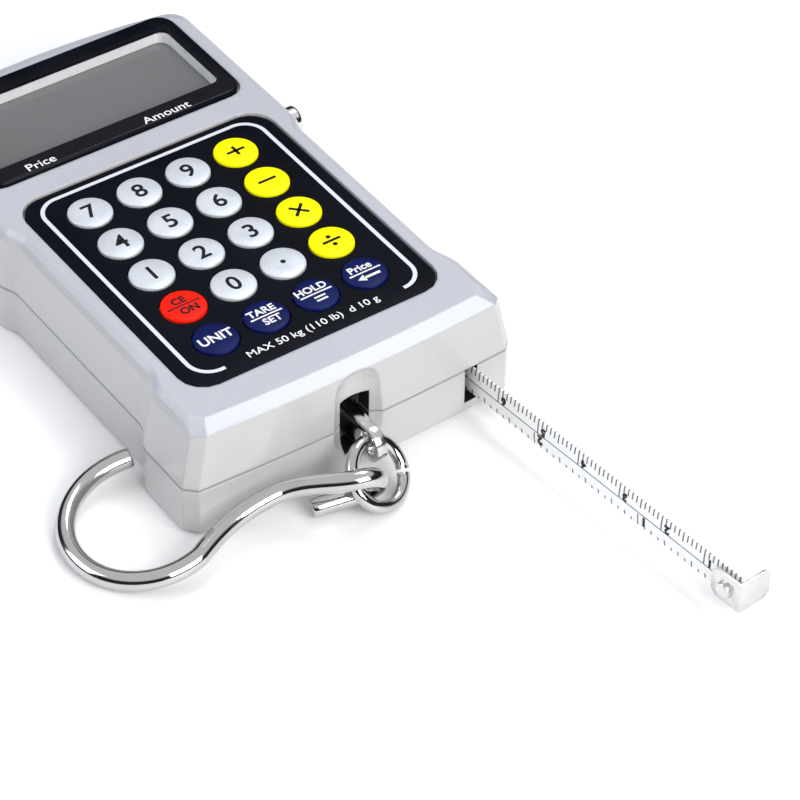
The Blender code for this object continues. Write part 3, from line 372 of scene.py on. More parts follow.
# %% [markdown]
# ## The tape's scale
# The tape is white-lacquered steel printed in black: millimetres along the upper edge, sixteenths of an inch
# along the lower edge, and a fine line between them. A pattern that repeats every millimetre is the distance to
# the nearest whole number. Object coordinates are turned by a Mapping node until X runs along the tape, and
# longer marks are the same rule with a longer step.

# %% Tape finish
TAPE_TURN = math.radians(84.97)
TAPE_MOUTH = (24.1 * MM, -53.5 * MM)
TAPE_AHEAD = (math.cos(-TAPE_TURN), math.sin(-TAPE_TURN))
TAPE_MOUTH_ALONG = TAPE_AHEAD[0] * TAPE_MOUTH[0] + TAPE_AHEAD[1] * TAPE_MOUTH[1]
TAPE_ZERO = 66.0 * MM
TAPE_LOW, TAPE_HIGH = 3.7 * MM, 9.6 * MM
TAPE_MIDDLE = (TAPE_LOW + TAPE_HIGH) / 2.0
INCH = 25.4 * MM


def marks(from_zero, height, step, width, reach):
    """Marks every step along the tape, each as long as reach, counted from one edge."""
    off = abs((from_zero + step / 2.0) % step - step / 2.0)
    return (off < width / 2.0) & (height < reach)


def tape_finish():
    paint = Finish("printed_tape")
    along, _, z = paint.axes(paint.place(turned=TAPE_TURN))
    from_zero = (TAPE_ZERO + TAPE_MOUTH_ALONG) - along
    down = TAPE_HIGH - z
    up = z - TAPE_LOW
    metric = (marks(from_zero, down, MM, 0.30 * MM, 1.30 * MM)
              | marks(from_zero, down, 5 * MM, 0.31 * MM, 1.75 * MM)
              | marks(from_zero, down, 10 * MM, 0.31 * MM, 2.9 * MM))
    inches = (marks(from_zero, up, INCH / 16, 0.31 * MM, 0.75 * MM)
              | marks(from_zero, up, INCH / 8, 0.31 * MM, 1.05 * MM)
              | marks(from_zero, up, INCH / 4, 0.31 * MM, 1.35 * MM)
              | marks(from_zero, up, INCH, 0.31 * MM, 2.6 * MM))
    line = abs(z - TAPE_MIDDLE) < 0.13 * MM
    print_mask = metric | inches | line
    where = paint.place()
    blot = paint.band(paint.noise(where, 3500.0, 2.0, 0.6), 0.3, 0.75)
    stretched = paint.place(turned=TAPE_TURN, scale=(40.0, 600.0, 600.0))
    rub = paint.band(paint.noise(stretched, 3.0, 3.0, 0.6), 0.55, 0.8)
    lacquer = paint.mix(rub * 0.30, (0.93, 0.935, 0.94), (0.80, 0.805, 0.82))
    ink = paint.mix(blot, (0.030, 0.032, 0.045), (0.012, 0.012, 0.020))
    return paint.set(Base_Color=paint.mix(print_mask * 0.93, lacquer, ink), Roughness=0.32 + rub * 0.15,
                     Coat_Weight=0.3, Coat_Roughness=0.1, Normal=paint.bump(rub, 0.00001, 0.3))


# %% [markdown]
# ## Display glass and the parts inside
# The display is switched off: an even grey with a trace of green, under glass. The parts inside the case, such as
# the board, the load cell, the springs and the batteries, show only through gaps, but each gets its own plain
# recipe with grain and variation.

# %% Display and inside finishes
def display_finish():
    paint = Finish("display_glass")
    where = paint.place()
    sheen = paint.band(paint.noise(where, 32.0, 2.0, 0.5), 0.3, 0.7)
    rows = paint.noise(paint.place(scale=(40.0, 2600.0, 1.0)), 1.0, 2.0, 0.5)
    colour = paint.mix(sheen * 0.7 + rows * 0.3, (0.105, 0.108, 0.109), (0.132, 0.136, 0.138))
    return paint.set(Base_Color=colour, Roughness=0.22 + sheen * 0.08, Coat_Weight=0.35, Coat_Roughness=0.08)


def plain_finish(name, dark, bright, roughness, scale, depth=0.00002, metal=0.0):
    paint = Finish(name)
    where = paint.place()
    grain = paint.band(paint.noise(where, scale, 4.0, 0.6), 0.3, 0.72)
    cloud = paint.band(paint.noise(where, scale / 12.0, 2.0, 0.5), 0.3, 0.7)
    colour = paint.mix(grain * 0.6 + cloud * 0.4, dark, bright)
    return paint.set(Base_Color=colour, Roughness=roughness + cloud * 0.12, Metallic=metal,
                     Normal=paint.bump(grain, depth, 0.4))


# %% Make the finishes
FINISH = {
    "case": case_finish(),
    "bezel": gloss_black("bezel_black", (0.0020, 0.0026, 0.0055)),
    "panel": panel_finish(),
    "silver": key_finish("silver"),
    "yellow": key_finish("yellow"),
    "red": key_finish("red"),
    "navy": key_finish("navy"),
    "black_ink": ink_finish("black_ink", (0.003, 0.003, 0.004)),
    "white_ink": ink_finish("white_ink", (0.86, 0.87, 0.88)),
    "wire": metal_finish("polished_wire", (0.56, 0.56, 0.555), 0.07, 0.08, (700.0, 700.0, 2600.0)),
    "plate": metal_finish("rolled_plate", (0.60, 0.60, 0.595), 0.14, 0.12, (500.0, 4000.0, 500.0)),
    "screw": metal_finish("screw_steel", (0.62, 0.62, 0.63), 0.26, 0.14, (3000.0, 3000.0, 400.0)),
    "hook_plate": metal_finish("tape_hook_plate", (0.70, 0.70, 0.68), 0.26, 0.10, (300.0, 300.0, 3000.0)),
    "button": metal_finish("button_chrome", (0.86, 0.86, 0.87), 0.06, 0.06),
    "aluminium": metal_finish("cast_aluminium", (0.74, 0.75, 0.77), 0.36, 0.12, depth=0.00003),
    "tape": tape_finish(),
    "display": display_finish(),
    "silver_wall": plain_finish("bezel_silver_wall", (0.70, 0.71, 0.74), (0.86, 0.87, 0.90), 0.26, 3000.0,
                                0.00001, 0.2),
    "mat": plain_finish("rubber_mat", (0.20, 0.20, 0.21), (0.30, 0.30, 0.31), 0.72, 2600.0),
    "board": plain_finish("green_board", (0.012, 0.13, 0.045), (0.030, 0.22, 0.085), 0.42, 1400.0),
    "black_plastic": plain_finish("black_plastic", (0.010, 0.010, 0.011), (0.028, 0.028, 0.030), 0.46, 3200.0),
    "battery": plain_finish("battery_jacket", (0.045, 0.16, 0.070), (0.075, 0.24, 0.11), 0.30, 1200.0),
}
print(len(FINISH), "finishes")

# %% [markdown]
# ## Give the solid model its finishes
# Each solid keeps its shape, and its material slots are pointed at the new finishes. The names of the record's
# slots lead to the finish, with a few solids singled out.

# %% Dress the solids
SLOT_FINISH = {"shell": "case", "window": "bezel", "lcd": "display", "panel": "panel", "silver_key": "silver",
               "yellow_key": "yellow", "red_key": "red", "navy_key": "navy", "mat": "mat", "board": "board",
               "black_plastic": "black_plastic", "aluminium": "aluminium", "steel": "screw",
               "polished": "wire", "tape": "tape", "battery": "battery"}
NODE_FINISH = {"hanger_plate": "plate", "top_hanger_plate": "plate", "tape_end_hook": "hook_plate",
               "tape_rivet": "hook_plate", "tape_release_button": "button"}
slot_of = {part["node"]: part["material_slot"] for part in frame["record"]["subparts"]}
for node, solid in frame["nodes"].items():
    chosen = FINISH[NODE_FINISH.get(node, SLOT_FINISH[slot_of[node]])]
    if not solid.material_slots:
        solid.data.materials.append(chosen)
    for holder in solid.material_slots:
        holder.material = chosen
print(len(frame["nodes"]), "solids dressed")

# %% [markdown]
# ## Working by operators
# The pieces that follow are modelled as by hand: start from a primitive, choose faces or edges by where they
# are, and change them with the editing operators. These helpers do the choosing.

# %% Editing helpers
def alone(piece):
    """Makes piece the only selected object and the active one."""
    bpy.ops.object.select_all(action="DESELECT")
    piece.select_set(True)
    bpy.context.view_layer.objects.active = piece
    return piece


def choose(piece, kind, rule):
    """In edit mode, selects the verts, edges or faces of piece for which rule holds."""
    bpy.ops.mesh.select_mode(type={"verts": "VERT", "edges": "EDGE", "faces": "FACE"}[kind])
    bpy.ops.mesh.select_all(action="DESELECT")
    body = bmesh.from_edit_mesh(piece.data)
    found = [item for item in getattr(body, kind) if rule(item)]
    for item in found:
        item.select_set(True)
    body.select_flush_mode()
    bmesh.update_edit_mesh(piece.data)
    return len(found)


def edit(piece):
    alone(piece)
    bpy.ops.object.mode_set(mode="EDIT")


def leave():
    bpy.ops.object.mode_set(mode="OBJECT")


def at_height(z, tolerance=0.01 * MM):
    return lambda item: all(abs(v.co.z - z) < tolerance for v in item.verts)


def modify(piece, kind, **settings):
    """Adds a modifier to piece and applies it at once."""
    alone(piece)
    made = piece.modifiers.new(kind.lower(), kind)
    for key, value in settings.items():
        setattr(made, key, value)
    bpy.ops.object.modifier_apply(modifier=made.name)
    return piece


def cut(piece, tool, operation="DIFFERENCE"):
    modify(piece, "BOOLEAN", object=tool, operation=operation, solver="EXACT")
    bpy.data.objects.remove(tool)
    return piece


def smooth(piece, degrees=40.0):
    alone(piece)
    bpy.ops.object.shade_smooth_by_angle(angle=math.radians(degrees))
    return piece


def dress(piece, name, finish, slot, body, *replaced):
    """Names a finished piece, gives it its finish and joins it to the solid model."""
    piece.name = name
    if finish:
        piece.data.materials.clear()
        piece.data.materials.append(FINISH[finish])
    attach(piece, body)
    if replaced:
        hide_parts(*replaced)
    return piece


# %% A block with rounded corners
def block(low, high, corner, rim=0.0, steps=10):
    """A cube sized to its place, its upright edges rounded and its upper rim eased."""
    low, high = Vector(low), Vector(high)
    bpy.ops.object.select_all(action="DESELECT")
    bpy.ops.mesh.primitive_cube_add(size=1.0, location=(low + high) / 2.0, scale=high - low)
    piece = bpy.context.object
    bpy.ops.object.transform_apply(location=True, rotation=True, scale=True)
    edit(piece)
    choose(piece, "edges", lambda e: abs(e.verts[0].co.z - e.verts[1].co.z) > 0.5 * (high.z - low.z))
    bpy.ops.mesh.bevel(offset=corner, segments=steps, affect="EDGES")
    if rim:
        choose(piece, "edges", at_height(high.z))
        bpy.ops.mesh.bevel(offset=rim, segments=4, affect="EDGES")
    leave()
    return piece


# %% [markdown]
# ## Lettering
# Blender's text object gives clean letters. Each word is turned into a mesh at the origin first, centred on its
# own outline, and only then moved into place, sunk a little into the surface below it like a thick print.

# %% Make a word
INK_RISE = 0.012 * MM
INK_SUNK = 0.14 * MM


def word(text, height, place, finish, bolder=0.0, squeeze=1.0):
    """A word as a mesh, with its letters height tall, its middle at place, lying flat."""
    bpy.ops.object.select_all(action="DESELECT")
    bpy.ops.object.text_add(location=(0.0, 0.0, 0.0))
    piece = bpy.context.object
    piece.data.body = text
    piece.data.size = height / 0.72
    piece.data.resolution_u = 4
    piece.data.offset = bolder
    piece.data.extrude = (INK_RISE + INK_SUNK) / 2.0
    bpy.ops.object.convert(target="MESH")
    corners = [Vector(c) for c in piece.bound_box]
    middle = (corners[0] + corners[6]) / 2.0
    piece.data.transform(Matrix.Translation(-middle))
    piece.data.transform(Matrix.Diagonal((squeeze, 1.0, 1.0, 1.0)))
    piece.location = Vector(place) + Vector((0.0, 0.0, (INK_RISE - INK_SUNK) / 2.0))
    bpy.ops.object.transform_apply(location=True, rotation=True, scale=True)
    piece.data.materials.clear()
    piece.data.materials.append(FINISH[finish])
    return piece


def stroke(start, end, width, z, finish):
    """A straight printed line from start to end."""
    start, end = Vector((*start, 0.0)), Vector((*end, 0.0))
    run = end - start
    middle = (start + end) / 2.0
    bpy.ops.object.select_all(action="DESELECT")
    bpy.ops.mesh.primitive_cube_add(size=1.0, location=(middle.x, middle.y, z + (INK_RISE - INK_SUNK) / 2.0),
                                    rotation=(0.0, 0.0, math.atan2(run.y, run.x)),
                                    scale=(run.length, width, INK_RISE + INK_SUNK))
    piece = bpy.context.object
    bpy.ops.object.transform_apply(location=True, rotation=True, scale=True)
    piece.data.materials.append(FINISH[finish])
    return piece


def join(pieces):
    """Joins pieces into the first of them and returns it."""
    alone(pieces[0])
    for piece in pieces:
        piece.select_set(True)
    bpy.ops.object.join()
    return bpy.context.object


# %% [markdown]
# ## The key cap
# A key is a short round cap with an eased rim and a barely domed face. A cylinder gives the sides; its top rim is
# bevelled, and three insets, each lifted a little less than the last, make the dome. It is modelled once at the
# origin, and every key gets its own copy.

# %% Model one cap
_, key_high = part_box("key_5")
CAP_RADIUS = 4.0 * MM
CAP_RIM = 0.30 * MM
CAP_RISES = ((0.5, 0.080), (0.9, 0.055), (0.9, 0.025))
cap_rise = sum(rise for _, rise in CAP_RISES) * MM
cap_shoulder = key_high.z - cap_rise - INK_RISE - 0.01 * MM
CAP_FOOT = 20.2 * MM
bpy.ops.object.select_all(action="DESELECT")
bpy.ops.mesh.primitive_cylinder_add(vertices=64, radius=CAP_RADIUS, depth=cap_shoulder - CAP_FOOT,
                                    location=(0.0, 0.0, (cap_shoulder + CAP_FOOT) / 2.0))
cap = bpy.context.object
bpy.ops.object.transform_apply(location=True, rotation=True, scale=True)
edit(cap)
choose(cap, "edges", at_height(cap_shoulder))
bpy.ops.mesh.bevel(offset=CAP_RIM, segments=6, affect="EDGES")
choose(cap, "faces", lambda f: f.normal.z > 0.99 and f.calc_area() > 1e-6)
for inward, rise in CAP_RISES:
    bpy.ops.mesh.inset(thickness=inward * MM, depth=rise * MM)
leave()
smooth(cap, 50.0)
CAP_TOP = max(v.co.z for v in cap.data.vertices)
print("cap top", round(CAP_TOP / MM, 3), "mm, key solid top", round(key_high.z / MM, 3))

# %% [markdown]
# ## Legends
# The number keys carry one black sign. The red key and three of the navy keys carry two small words with a line
# between them, and one carries a single word. The back arrow is a bar with a triangular head.

# %% Legend of each key
DIGIT_HEIGHT = 3.5 * MM
SIGN_SIZE = 1.8 * MM
SIGN_WIDTH = 0.62 * MM
DOT_HEIGHT = 3.0 * MM
DOT_AWAY = 1.1 * MM
SMALL_HEIGHT = 1.6 * MM
SPLIT_HALF = 3.1 * MM
SPLIT_WIDTH = 0.30 * MM


def sign(kind, x, y):
    """The four arithmetic signs, from straight strokes."""
    reach = SIGN_SIZE
    slant = reach * 0.72
    lines = {"plus": (((-reach, 0), (reach, 0)), ((0, -slant), (0, slant))),
             "minus": (((-reach, 0), (reach, 0)),),
             "times": (((-slant, -slant), (slant, slant)), ((-slant, slant), (slant, -slant))),
             "divide": (((-reach, 0), (reach, 0)),)}[kind]
    made = [stroke((x + a, y + b), (x + c, y + d), SIGN_WIDTH, CAP_TOP, "black_ink") for (a, b), (c, d) in lines]
    if kind == "divide":
        made += [word(".", DOT_HEIGHT, (x, y + side * DOT_AWAY, CAP_TOP), "black_ink", 0.2 * MM)
                 for side in (-1, 1)]
    return made


def back_arrow(x, y):
    """A bar with a head, pointing left."""
    bar = stroke((x - 1.2 * MM, y), (x + 2.0 * MM, y), 0.55 * MM, CAP_TOP, "white_ink")
    bpy.ops.object.select_all(action="DESELECT")
    bpy.ops.mesh.primitive_cylinder_add(vertices=3, radius=0.95 * MM, depth=INK_RISE + INK_SUNK,
                                        location=(x - 1.5 * MM, y, CAP_TOP + (INK_RISE - INK_SUNK) / 2.0),
                                        rotation=(0.0, 0.0, math.radians(90.0)))
    head = bpy.context.object
    bpy.ops.object.transform_apply(location=True, rotation=True, scale=True)
    head.data.materials.append(FINISH["white_ink"])
    return [bar, head]


def split_legend(upper, lower, x, y, ink):
    """Two small words with a line between them."""
    bolder = 0.09 * MM if ink == "black_ink" else 0.05 * MM
    made = [stroke((x - SPLIT_HALF, y), (x + SPLIT_HALF, y), SPLIT_WIDTH, CAP_TOP, ink)]
    made.append(word(upper, SMALL_HEIGHT, (x - 0.25 * MM, y + 1.35 * MM, CAP_TOP), ink, bolder))
    if lower == "arrow":
        made += back_arrow(x + 0.2 * MM, y - 1.35 * MM)
    elif lower == "=":
        made += [stroke((x - 1.0 * MM, y - down * MM), (x + 1.2 * MM, y - down * MM), 0.38 * MM, CAP_TOP, ink)
                 for down in (1.0, 1.85)]
    else:
        made.append(word(lower, SMALL_HEIGHT, (x + 0.3 * MM, y - 1.40 * MM, CAP_TOP), ink, bolder))
    return made


def legend(name, x, y):
    tail = name.removeprefix("key_")
    if tail in ("plus", "minus", "times", "divide"):
        return sign(tail, x, y)
    if tail == "ce_on":
        return split_legend("CE", "ON", x, y, "black_ink")
    if tail == "tare_set":
        return split_legend("TARE", "SET", x, y, "white_ink")
    if tail == "hold_equals":
        return split_legend("HOLD", "=", x, y, "white_ink")
    if tail == "price_back":
        return split_legend("Price", "arrow", x, y, "white_ink")
    if tail == "unit":
        return [word("UNIT", 2.0 * MM, (x, y, CAP_TOP), "white_ink", 0.06 * MM)]
    if tail == "point":
        return [word(".", 3.4 * MM, (x, y, CAP_TOP), "black_ink", 0.20 * MM)]
    return [word(tail, DIGIT_HEIGHT, (x, y, CAP_TOP), "black_ink", 0.09 * MM)]


# %% Copy the cap to every key
for name in sorted(n for n in frame["nodes"] if n.startswith("key_")):
    low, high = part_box(name)
    x, y = (low.x + high.x) / 2.0, (low.y + high.y) / 2.0
    mine = bpy.data.objects.new("cap", cap.data.copy())
    bpy.context.scene.collection.objects.link(mine)
    mine.data.transform(Matrix.Translation((x, y, 0.0)))
    colour = SLOT_FINISH[slot_of[name]]
    mine.data.materials.clear()
    mine.data.materials.append(FINISH[colour])
    whole = join([mine, *legend(name, x, y)])
    dress(whole, "cap_" + name.removeprefix("key_"), None, slot_of[name], name, name)
bpy.data.objects.remove(cap)
print("twenty caps placed")

# %% [markdown]
# ## The keypad panel
# The film is stamped out with rounded corners and a round hole for each key. A rounded block is the sheet, and
# smooth cylinders cut the holes, a little wider than the caps so that a thin shadow shows round each key.

# %% Cut the panel
HOLE_RADIUS = 4.22 * MM
low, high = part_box("keypad_panel")
panel = block(low, high, 5.0 * MM, 0.12 * MM, 14)
for name in sorted(n for n in frame["nodes"] if n.startswith("key_")):
    a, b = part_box(name)
    bpy.ops.object.select_all(action="DESELECT")
    bpy.ops.mesh.primitive_cylinder_add(vertices=64, radius=HOLE_RADIUS, depth=4.0 * MM,
                                        location=((a.x + b.x) / 2.0, (a.y + b.y) / 2.0, high.z))
    cut(panel, bpy.context.object)
PANEL_TOP = high.z
small_print = word("MAX 50 kg (110 lb)  d 10 g", 1.55 * MM, (0.3 * MM, -39.9 * MM, PANEL_TOP), "white_ink",
                   0.015 * MM, 1.10)
alone(panel)
panel.data.materials.append(FINISH["panel"])
panel = join([smooth(panel, 30.0), small_print])
dress(panel, "panel_film", None, "panel", "case", "keypad_panel")
print("panel vertices", len(panel.data.vertices))

# %% [markdown]
# ## The display bezel
# The bezel stands proud of the case as a black moulding with a rounded outline, and a silver frame lines its
# opening down to the display. Both are rounded blocks with a rounded opening cut through; the lining's opening
# is smaller at the foot, so that it slopes and catches the light.

# %% Bezel, words and lining
low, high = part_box("display_window")
OPEN_LOW = Vector((-23.7, 24.7, 0.0)) * MM
OPEN_HIGH = Vector((23.7, 44.0, 0.0)) * MM
LINING = 0.16 * MM
LINING_SLOPE = 0.30 * MM
LINING_DROP = 0.65 * MM
LINING_FOOT = 19.92 * MM


def opening(inset, bottom, top, corner):
    return block((OPEN_LOW.x + inset, OPEN_LOW.y + inset, bottom), (OPEN_HIGH.x - inset, OPEN_HIGH.y - inset, top),
                 corner - inset)


bezel = block(low, (high.x, high.y, high.z - INK_RISE - 0.01 * MM), 3.5 * MM, 0.5 * MM, 12)
cut(bezel, opening(0.0, low.z - MM, high.z + MM, 1.9 * MM))
BEZEL_TOP = high.z - INK_RISE - 0.01 * MM
bezel.data.materials.append(FINISH["bezel"])
bezel = join([smooth(bezel, 35.0),
              word("Price", 1.9 * MM, (-15.5 * MM, 22.15 * MM, BEZEL_TOP), "white_ink", 0.02 * MM, 1.1),
              word("Amount", 1.9 * MM, (10.4 * MM, 22.15 * MM, BEZEL_TOP), "white_ink", 0.02 * MM, 1.1)])
dress(bezel, "display_bezel", None, "window", "case", "display_window")
lining = opening(0.01 * MM, LINING_FOOT, high.z - LINING_DROP, 1.9 * MM)
core = opening(LINING + LINING_SLOPE, LINING_FOOT - MM, high.z - LINING_DROP + 0.01 * MM, 2.6 * MM)
edit(core)
choose(core, "verts", lambda v: v.co.z > LINING_FOOT)
room = OPEN_HIGH - OPEN_LOW
grow = Vector((1.0 + 2.0 * LINING_SLOPE / room.x, 1.0 + 2.0 * LINING_SLOPE / room.y, 1.0))
bpy.ops.transform.resize(value=grow, center_override=(OPEN_LOW + OPEN_HIGH) / 2.0)
leave()
cut(lining, core)
dress(smooth(lining, 35.0), "display_lining", "silver_wall", "window", "case")
print("bezel", [round(x / MM, 1) for x in (high - low)])

# %% [markdown]
# ## Smooth wire
# The solid model draws wire with a dozen flat sides, which polished steel would show. A copy of the hook's mesh
# is merged, its triangles are paired into quads, its cut ends get a small inset so that they stay crisp, and
# subdivision rounds it. Subdivision shrinks a tube slightly, so the copy is fattened first.

# %% Copy a solid
def copy_of(node):
    """A merged copy of a solid's mesh, as an object of its own."""
    piece = bpy.data.objects.new("copy_of_" + node, frame["nodes"][node].data.copy())
    bpy.context.scene.collection.objects.link(piece)
    edit(piece)
    bpy.ops.mesh.select_all(action="SELECT")
    bpy.ops.mesh.remove_doubles(threshold=0.000002)
    bpy.ops.mesh.customdata_custom_splitnormals_clear()
    leave()
    return piece


def smooth_wire(node, fatten, levels=2):
    piece = copy_of(node)
    edit(piece)
    bpy.ops.mesh.select_all(action="SELECT")
    bpy.ops.mesh.dissolve_limited(angle_limit=math.radians(0.5))
    bpy.ops.mesh.select_all(action="SELECT")
    bpy.ops.mesh.tris_convert_to_quads(face_threshold=math.radians(60.0), shape_threshold=math.radians(60.0))
    ends = choose(piece, "faces", lambda f: len(f.verts) > 6)
    if ends:
        bpy.ops.mesh.inset(thickness=0.18 * MM, use_individual=True)
    bpy.ops.mesh.select_all(action="SELECT")
    bpy.ops.transform.shrink_fatten(value=fatten)
    leave()
    modify(piece, "SUBSURF", levels=levels, render_levels=levels)
    print(node, "cut ends", ends, "faces", len(piece.data.polygons))
    return smooth(piece, 60.0)


dress(smooth_wire("weighing_hook", 0.09 * MM), "hook_wire", "wire", "polished", "weighing_hook", "weighing_hook")
dress(smooth_wire("top_ring", 0.06 * MM), "top_ring_wire", "wire", "polished", "top_ring", "top_ring")

# %% [markdown]
# ## The link ring
# The link is a piece of wire bent round until its ends meet, and the joint stays open by a hair. A torus gives the
# round; one thin slice of it is removed, the two ends are closed, and the wire just behind them is swelled a
# little, because the bending tool squeezes it there.

# %% Bend the link ring
RING_CENTRE = Vector((-1.67, -61.54, 5.61)) * MM
RING_NORMAL = Vector((0.287, -0.721, 0.630)).normalized()
RING_RADIUS = 5.65 * MM
RING_WIRE = 1.15 * MM
RING_STEPS = 120
bpy.ops.object.select_all(action="DESELECT")
bpy.ops.mesh.primitive_torus_add(major_radius=RING_RADIUS, minor_radius=RING_WIRE, major_segments=RING_STEPS,
                                 minor_segments=28)
ring = bpy.context.object
edit(ring)
slice_angle = 2.0 * math.pi / RING_STEPS


def ring_angle(item):
    centre = sum((v.co for v in item.verts), Vector()) / len(item.verts)
    return abs(math.atan2(centre.y, centre.x))


choose(ring, "faces", lambda f: ring_angle(f) < slice_angle)
bpy.ops.mesh.delete(type="FACE")
choose(ring, "edges", lambda e: e.is_boundary)
bpy.ops.mesh.edge_face_add()
choose(ring, "faces", lambda f: len(f.verts) > 4)
bpy.ops.mesh.inset(thickness=0.15 * MM, use_individual=True)
bpy.ops.mesh.select_all(action="SELECT")
bpy.ops.mesh.normals_make_consistent(inside=False)
for side in (1.0, -1.0):
    choose(ring, "verts", lambda v: abs(math.atan2(v.co.y, v.co.x)) < 0.17 and v.co.y * side > 0.0)
    bpy.ops.transform.resize(value=(1.10, 1.0, 0.90), center_override=(RING_RADIUS, 0.0, 0.0))
leave()
smooth(ring, 50.0)

# %% Turn the ring into its place
JOINT_TOWARDS = Vector((0.90, 0.05, -0.42))
across_ring = (JOINT_TOWARDS - RING_NORMAL * JOINT_TOWARDS.dot(RING_NORMAL)).normalized()
basis = Matrix((across_ring, RING_NORMAL.cross(across_ring), RING_NORMAL)).transposed()
ring.matrix_world = Matrix.Translation(RING_CENTRE) @ basis.to_4x4()
alone(ring)
bpy.ops.object.transform_apply(location=True, rotation=True, scale=True)
dress(ring, "link_ring_wire", "wire", "polished", "link_ring", "link_ring")
print("link ring faces", len(ring.data.polygons))

# %% [markdown]
# ## Plates, button and rivet
# Stamped plates have edges rounded by tumbling, so copies of them get a narrow bevel, which is what draws the
# bright line along a real edge. The release button and the rivet are turned parts: a cylinder, a bevelled rim
# and an inset that domes the face.

# %% Ease the plates
def eased(node, width, steps=2):
    piece = copy_of(node)
    edit(piece)
    bpy.ops.mesh.select_all(action="SELECT")
    bpy.ops.mesh.dissolve_limited(angle_limit=math.radians(1.0))
    leave()
    modify(piece, "BEVEL", width=width, segments=steps, limit_method="ANGLE", angle_limit=math.radians(40.0),
           use_clamp_overlap=True)
    return smooth(piece, 35.0)


dress(eased("hanger_plate", 0.16 * MM), "hanger_tongue", "plate", slot_of["hanger_plate"], "hanger_plate",
      "hanger_plate")
dress(eased("top_hanger_plate", 0.16 * MM), "top_hanger_tongue", "plate", slot_of["top_hanger_plate"], "case",
      "top_hanger_plate")
dress(eased("tape_end_hook", 0.08 * MM), "tape_end_plate", "hook_plate", slot_of["tape_end_hook"], "tape",
      "tape_end_hook")


# %% Turn the button and the rivet
def turned_cap(radius, start, end, rim, dome, sides=64):
    """A cylinder along Z from start to end, with an eased rim and a domed face at the end."""
    bpy.ops.object.select_all(action="DESELECT")
    bpy.ops.mesh.primitive_cylinder_add(vertices=sides, radius=radius, depth=end - dome - start,
                                        location=(0.0, 0.0, (end - dome + start) / 2.0))
    piece = bpy.context.object
    bpy.ops.object.transform_apply(location=True, rotation=True, scale=True)
    edit(piece)
    choose(piece, "edges", at_height(end - dome))
    bpy.ops.mesh.bevel(offset=rim, segments=5, affect="EDGES")
    choose(piece, "faces", lambda f: f.normal.z > 0.99 and f.calc_area() > radius * radius)
    room = radius - rim
    for inward, share in ((0.22, 0.45), (0.25, 0.33), (0.25, 0.22)):
        bpy.ops.mesh.inset(thickness=room * inward, depth=dome * share)
    leave()
    return smooth(piece, 50.0)


low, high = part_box("tape_release_button")
BUTTON_RADIUS = 2.7 * MM
BUTTON_START = 26.2 * MM
button = turned_cap(BUTTON_RADIUS, BUTTON_START, high.x, 0.8 * MM, 0.5 * MM)
button.matrix_world = Matrix.Translation((0.0, (low.y + high.y) / 2.0, (low.z + high.z) / 2.0)) @ Matrix.Rotation(
    math.radians(90.0), 4, "Y")
alone(button)
bpy.ops.object.transform_apply(location=True, rotation=True, scale=True)
dress(button, "button_dome", "button", slot_of["tape_release_button"], "release_lever", "tape_release_button")
low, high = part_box("tape_rivet")
rivet_middle = (low + high) / 2.0
RIVET_RADIUS = 1.5 * MM
box_half_x, box_half_z = (high.x - low.x) / 2.0, (high.z - low.z) / 2.0
rivet_reach = (box_half_x - box_half_z * abs(TAPE_AHEAD[0])) / abs(TAPE_AHEAD[1])
rivet = turned_cap(RIVET_RADIUS, -rivet_reach, rivet_reach, 0.22 * MM, 0.12 * MM, 40)
facing = Vector((TAPE_AHEAD[1], -TAPE_AHEAD[0], 0.0))
rivet.matrix_world = Matrix.Translation(rivet_middle) @ facing.to_track_quat("Z", "Y").to_matrix().to_4x4()
alone(rivet)
bpy.ops.object.transform_apply(location=True, rotation=True, scale=True)
dress(rivet, "rivet_head", "hook_plate", slot_of["tape_rivet"], "tape", "tape_rivet")
print("rivet radius", round(RIVET_RADIUS / MM, 2), "reach", round(rivet_reach / MM, 2))
print("button reaches", round(high.x / MM, 2))

# %% [markdown]
# ## Numbers on the tape
# Centimetre numbers stand above the line and inch numbers below it, each just past its long mark. They read from
# the end hook, so from this side they stand on their heads. Each is made flat, turned up on edge and laid
# against the blade.

# %% Print the tape numbers
FACE_OUT = -0.16 * MM
across = Vector((-TAPE_AHEAD[1], TAPE_AHEAD[0], 0.0))
ahead = Vector((TAPE_AHEAD[0], TAPE_AHEAD[1], 0.0))


def on_tape(along, sideways, z):
    return Vector((TAPE_MOUTH[0], TAPE_MOUTH[1], z)) + ahead * along + across * sideways


def tape_number(text, along, z, height):
    piece = word(text, height, (0.0, 0.0, 0.0), "black_ink", 0.10 * MM)
    facing = Matrix((-ahead, Vector((0.0, 0.0, -1.0)), -across)).transposed()
    piece.matrix_world = Matrix.Translation(on_tape(along, FACE_OUT, z)) @ facing.to_4x4()
    alone(piece)
    bpy.ops.object.transform_apply(location=True, rotation=True, scale=True)
    return piece


numbers = []
for centimetre in range(1, 8):
    numbers.append(tape_number(str(centimetre), TAPE_ZERO - centimetre * 10.0 * MM + 1.35 * MM,
                               7.55 * MM, 1.6 * MM))
for inch in (1, 2):
    numbers.append(tape_number(str(inch), TAPE_ZERO - inch * INCH + 1.45 * MM, 5.45 * MM, 1.8 * MM))
dress(join(numbers), "tape_numbers", None, "tape", "tape")
print("tape numbers", len(numbers))

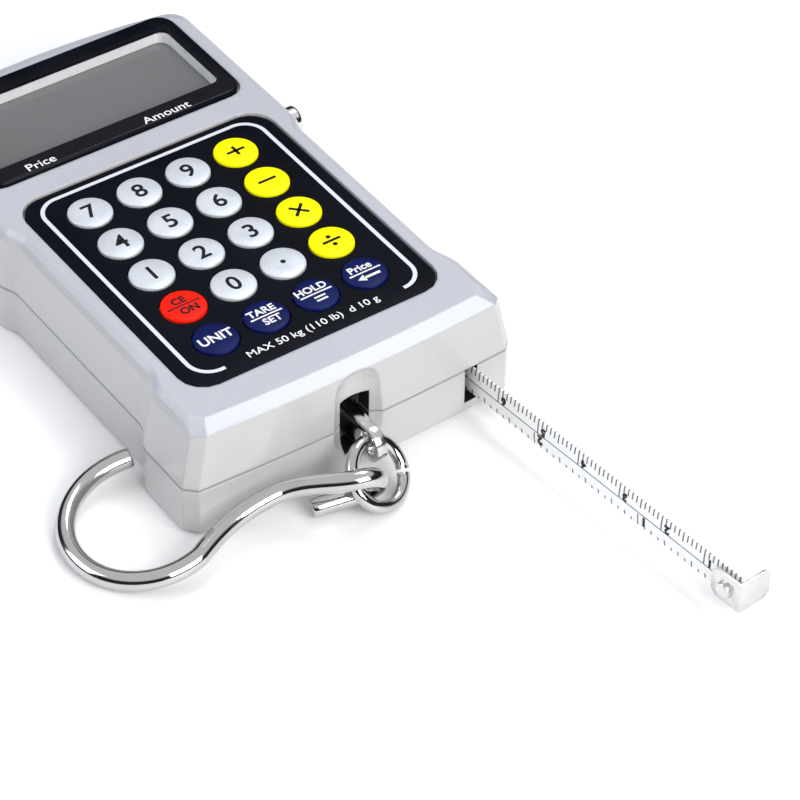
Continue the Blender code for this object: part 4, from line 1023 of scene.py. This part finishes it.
# %% [markdown]
# ## Floor and light
# The scale lies on a white table under soft light. A large warm panel stands in front, a small bright one hangs
# overhead for the shine along the front edge, and a cooler one fills the left side. The ceiling is white and the
# walls are dark, as in a studio, which is what gives polished wire its dark streaks.

# %% Floor
FLOOR_DROP = 0.02 * MM
bpy.ops.object.select_all(action="DESELECT")
bpy.ops.mesh.primitive_plane_add(size=6.0, location=(0.0, 0.0, CAD_BOX[0][2] - FLOOR_DROP))
floor = bpy.context.object
floor.name = "floor"
floor_paint = Finish("white_table")
haze = floor_paint.band(floor_paint.noise(floor_paint.place(), 12.0, 3.0, 0.5), 0.3, 0.7)
floor.data.materials.append(floor_paint.set(
    Base_Color=floor_paint.mix(haze, (0.90, 0.90, 0.90), (0.92, 0.92, 0.92)), Roughness=0.6))

# %% Lights
def panel_light(name, towards, distance, size, power, colour):
    lamp = bpy.data.lights.new(name, "AREA")
    lamp.shape = "SQUARE"
    lamp.size = size
    lamp.energy = power
    lamp.color = colour
    holder = bpy.data.objects.new(name, lamp)
    bpy.context.scene.collection.objects.link(holder)
    out = Vector(towards).normalized()
    holder.matrix_world = Matrix.Translation(out * distance) @ out.to_track_quat("Z", "Y").to_matrix().to_4x4()
    return holder


panel_light("front_panel", (0.08, -0.84, 0.50), 0.9, 0.55, 7.2, (1.0, 0.995, 0.965))
panel_light("top_panel", (0.43, 0.25, 0.86), 1.0, 0.34, 2.9, (0.88, 0.92, 1.0))
panel_light("left_panel", (-0.75, 0.40, 0.50), 1.0, 0.60, 3.9, (0.88, 0.92, 1.0))

# %% Surroundings
world = bpy.data.worlds.new("studio")
world.use_nodes = True
bpy.context.scene.world = world
studio = Graph(world.node_tree)
background = next(n for n in world.node_tree.nodes if n.type == "BACKGROUND")
height = studio.axes(studio.node("ShaderNodeTexCoord", output=0))[2]
tone = studio.mix(studio.band(height, 0.50, 0.66), (0.035, 0.035, 0.037), (1.0, 1.0, 1.02))
world.node_tree.links.new(tone.socket, background.inputs["Color"])
background.inputs["Strength"].default_value = 0.80
bpy.context.scene.view_settings.view_transform = "Standard"
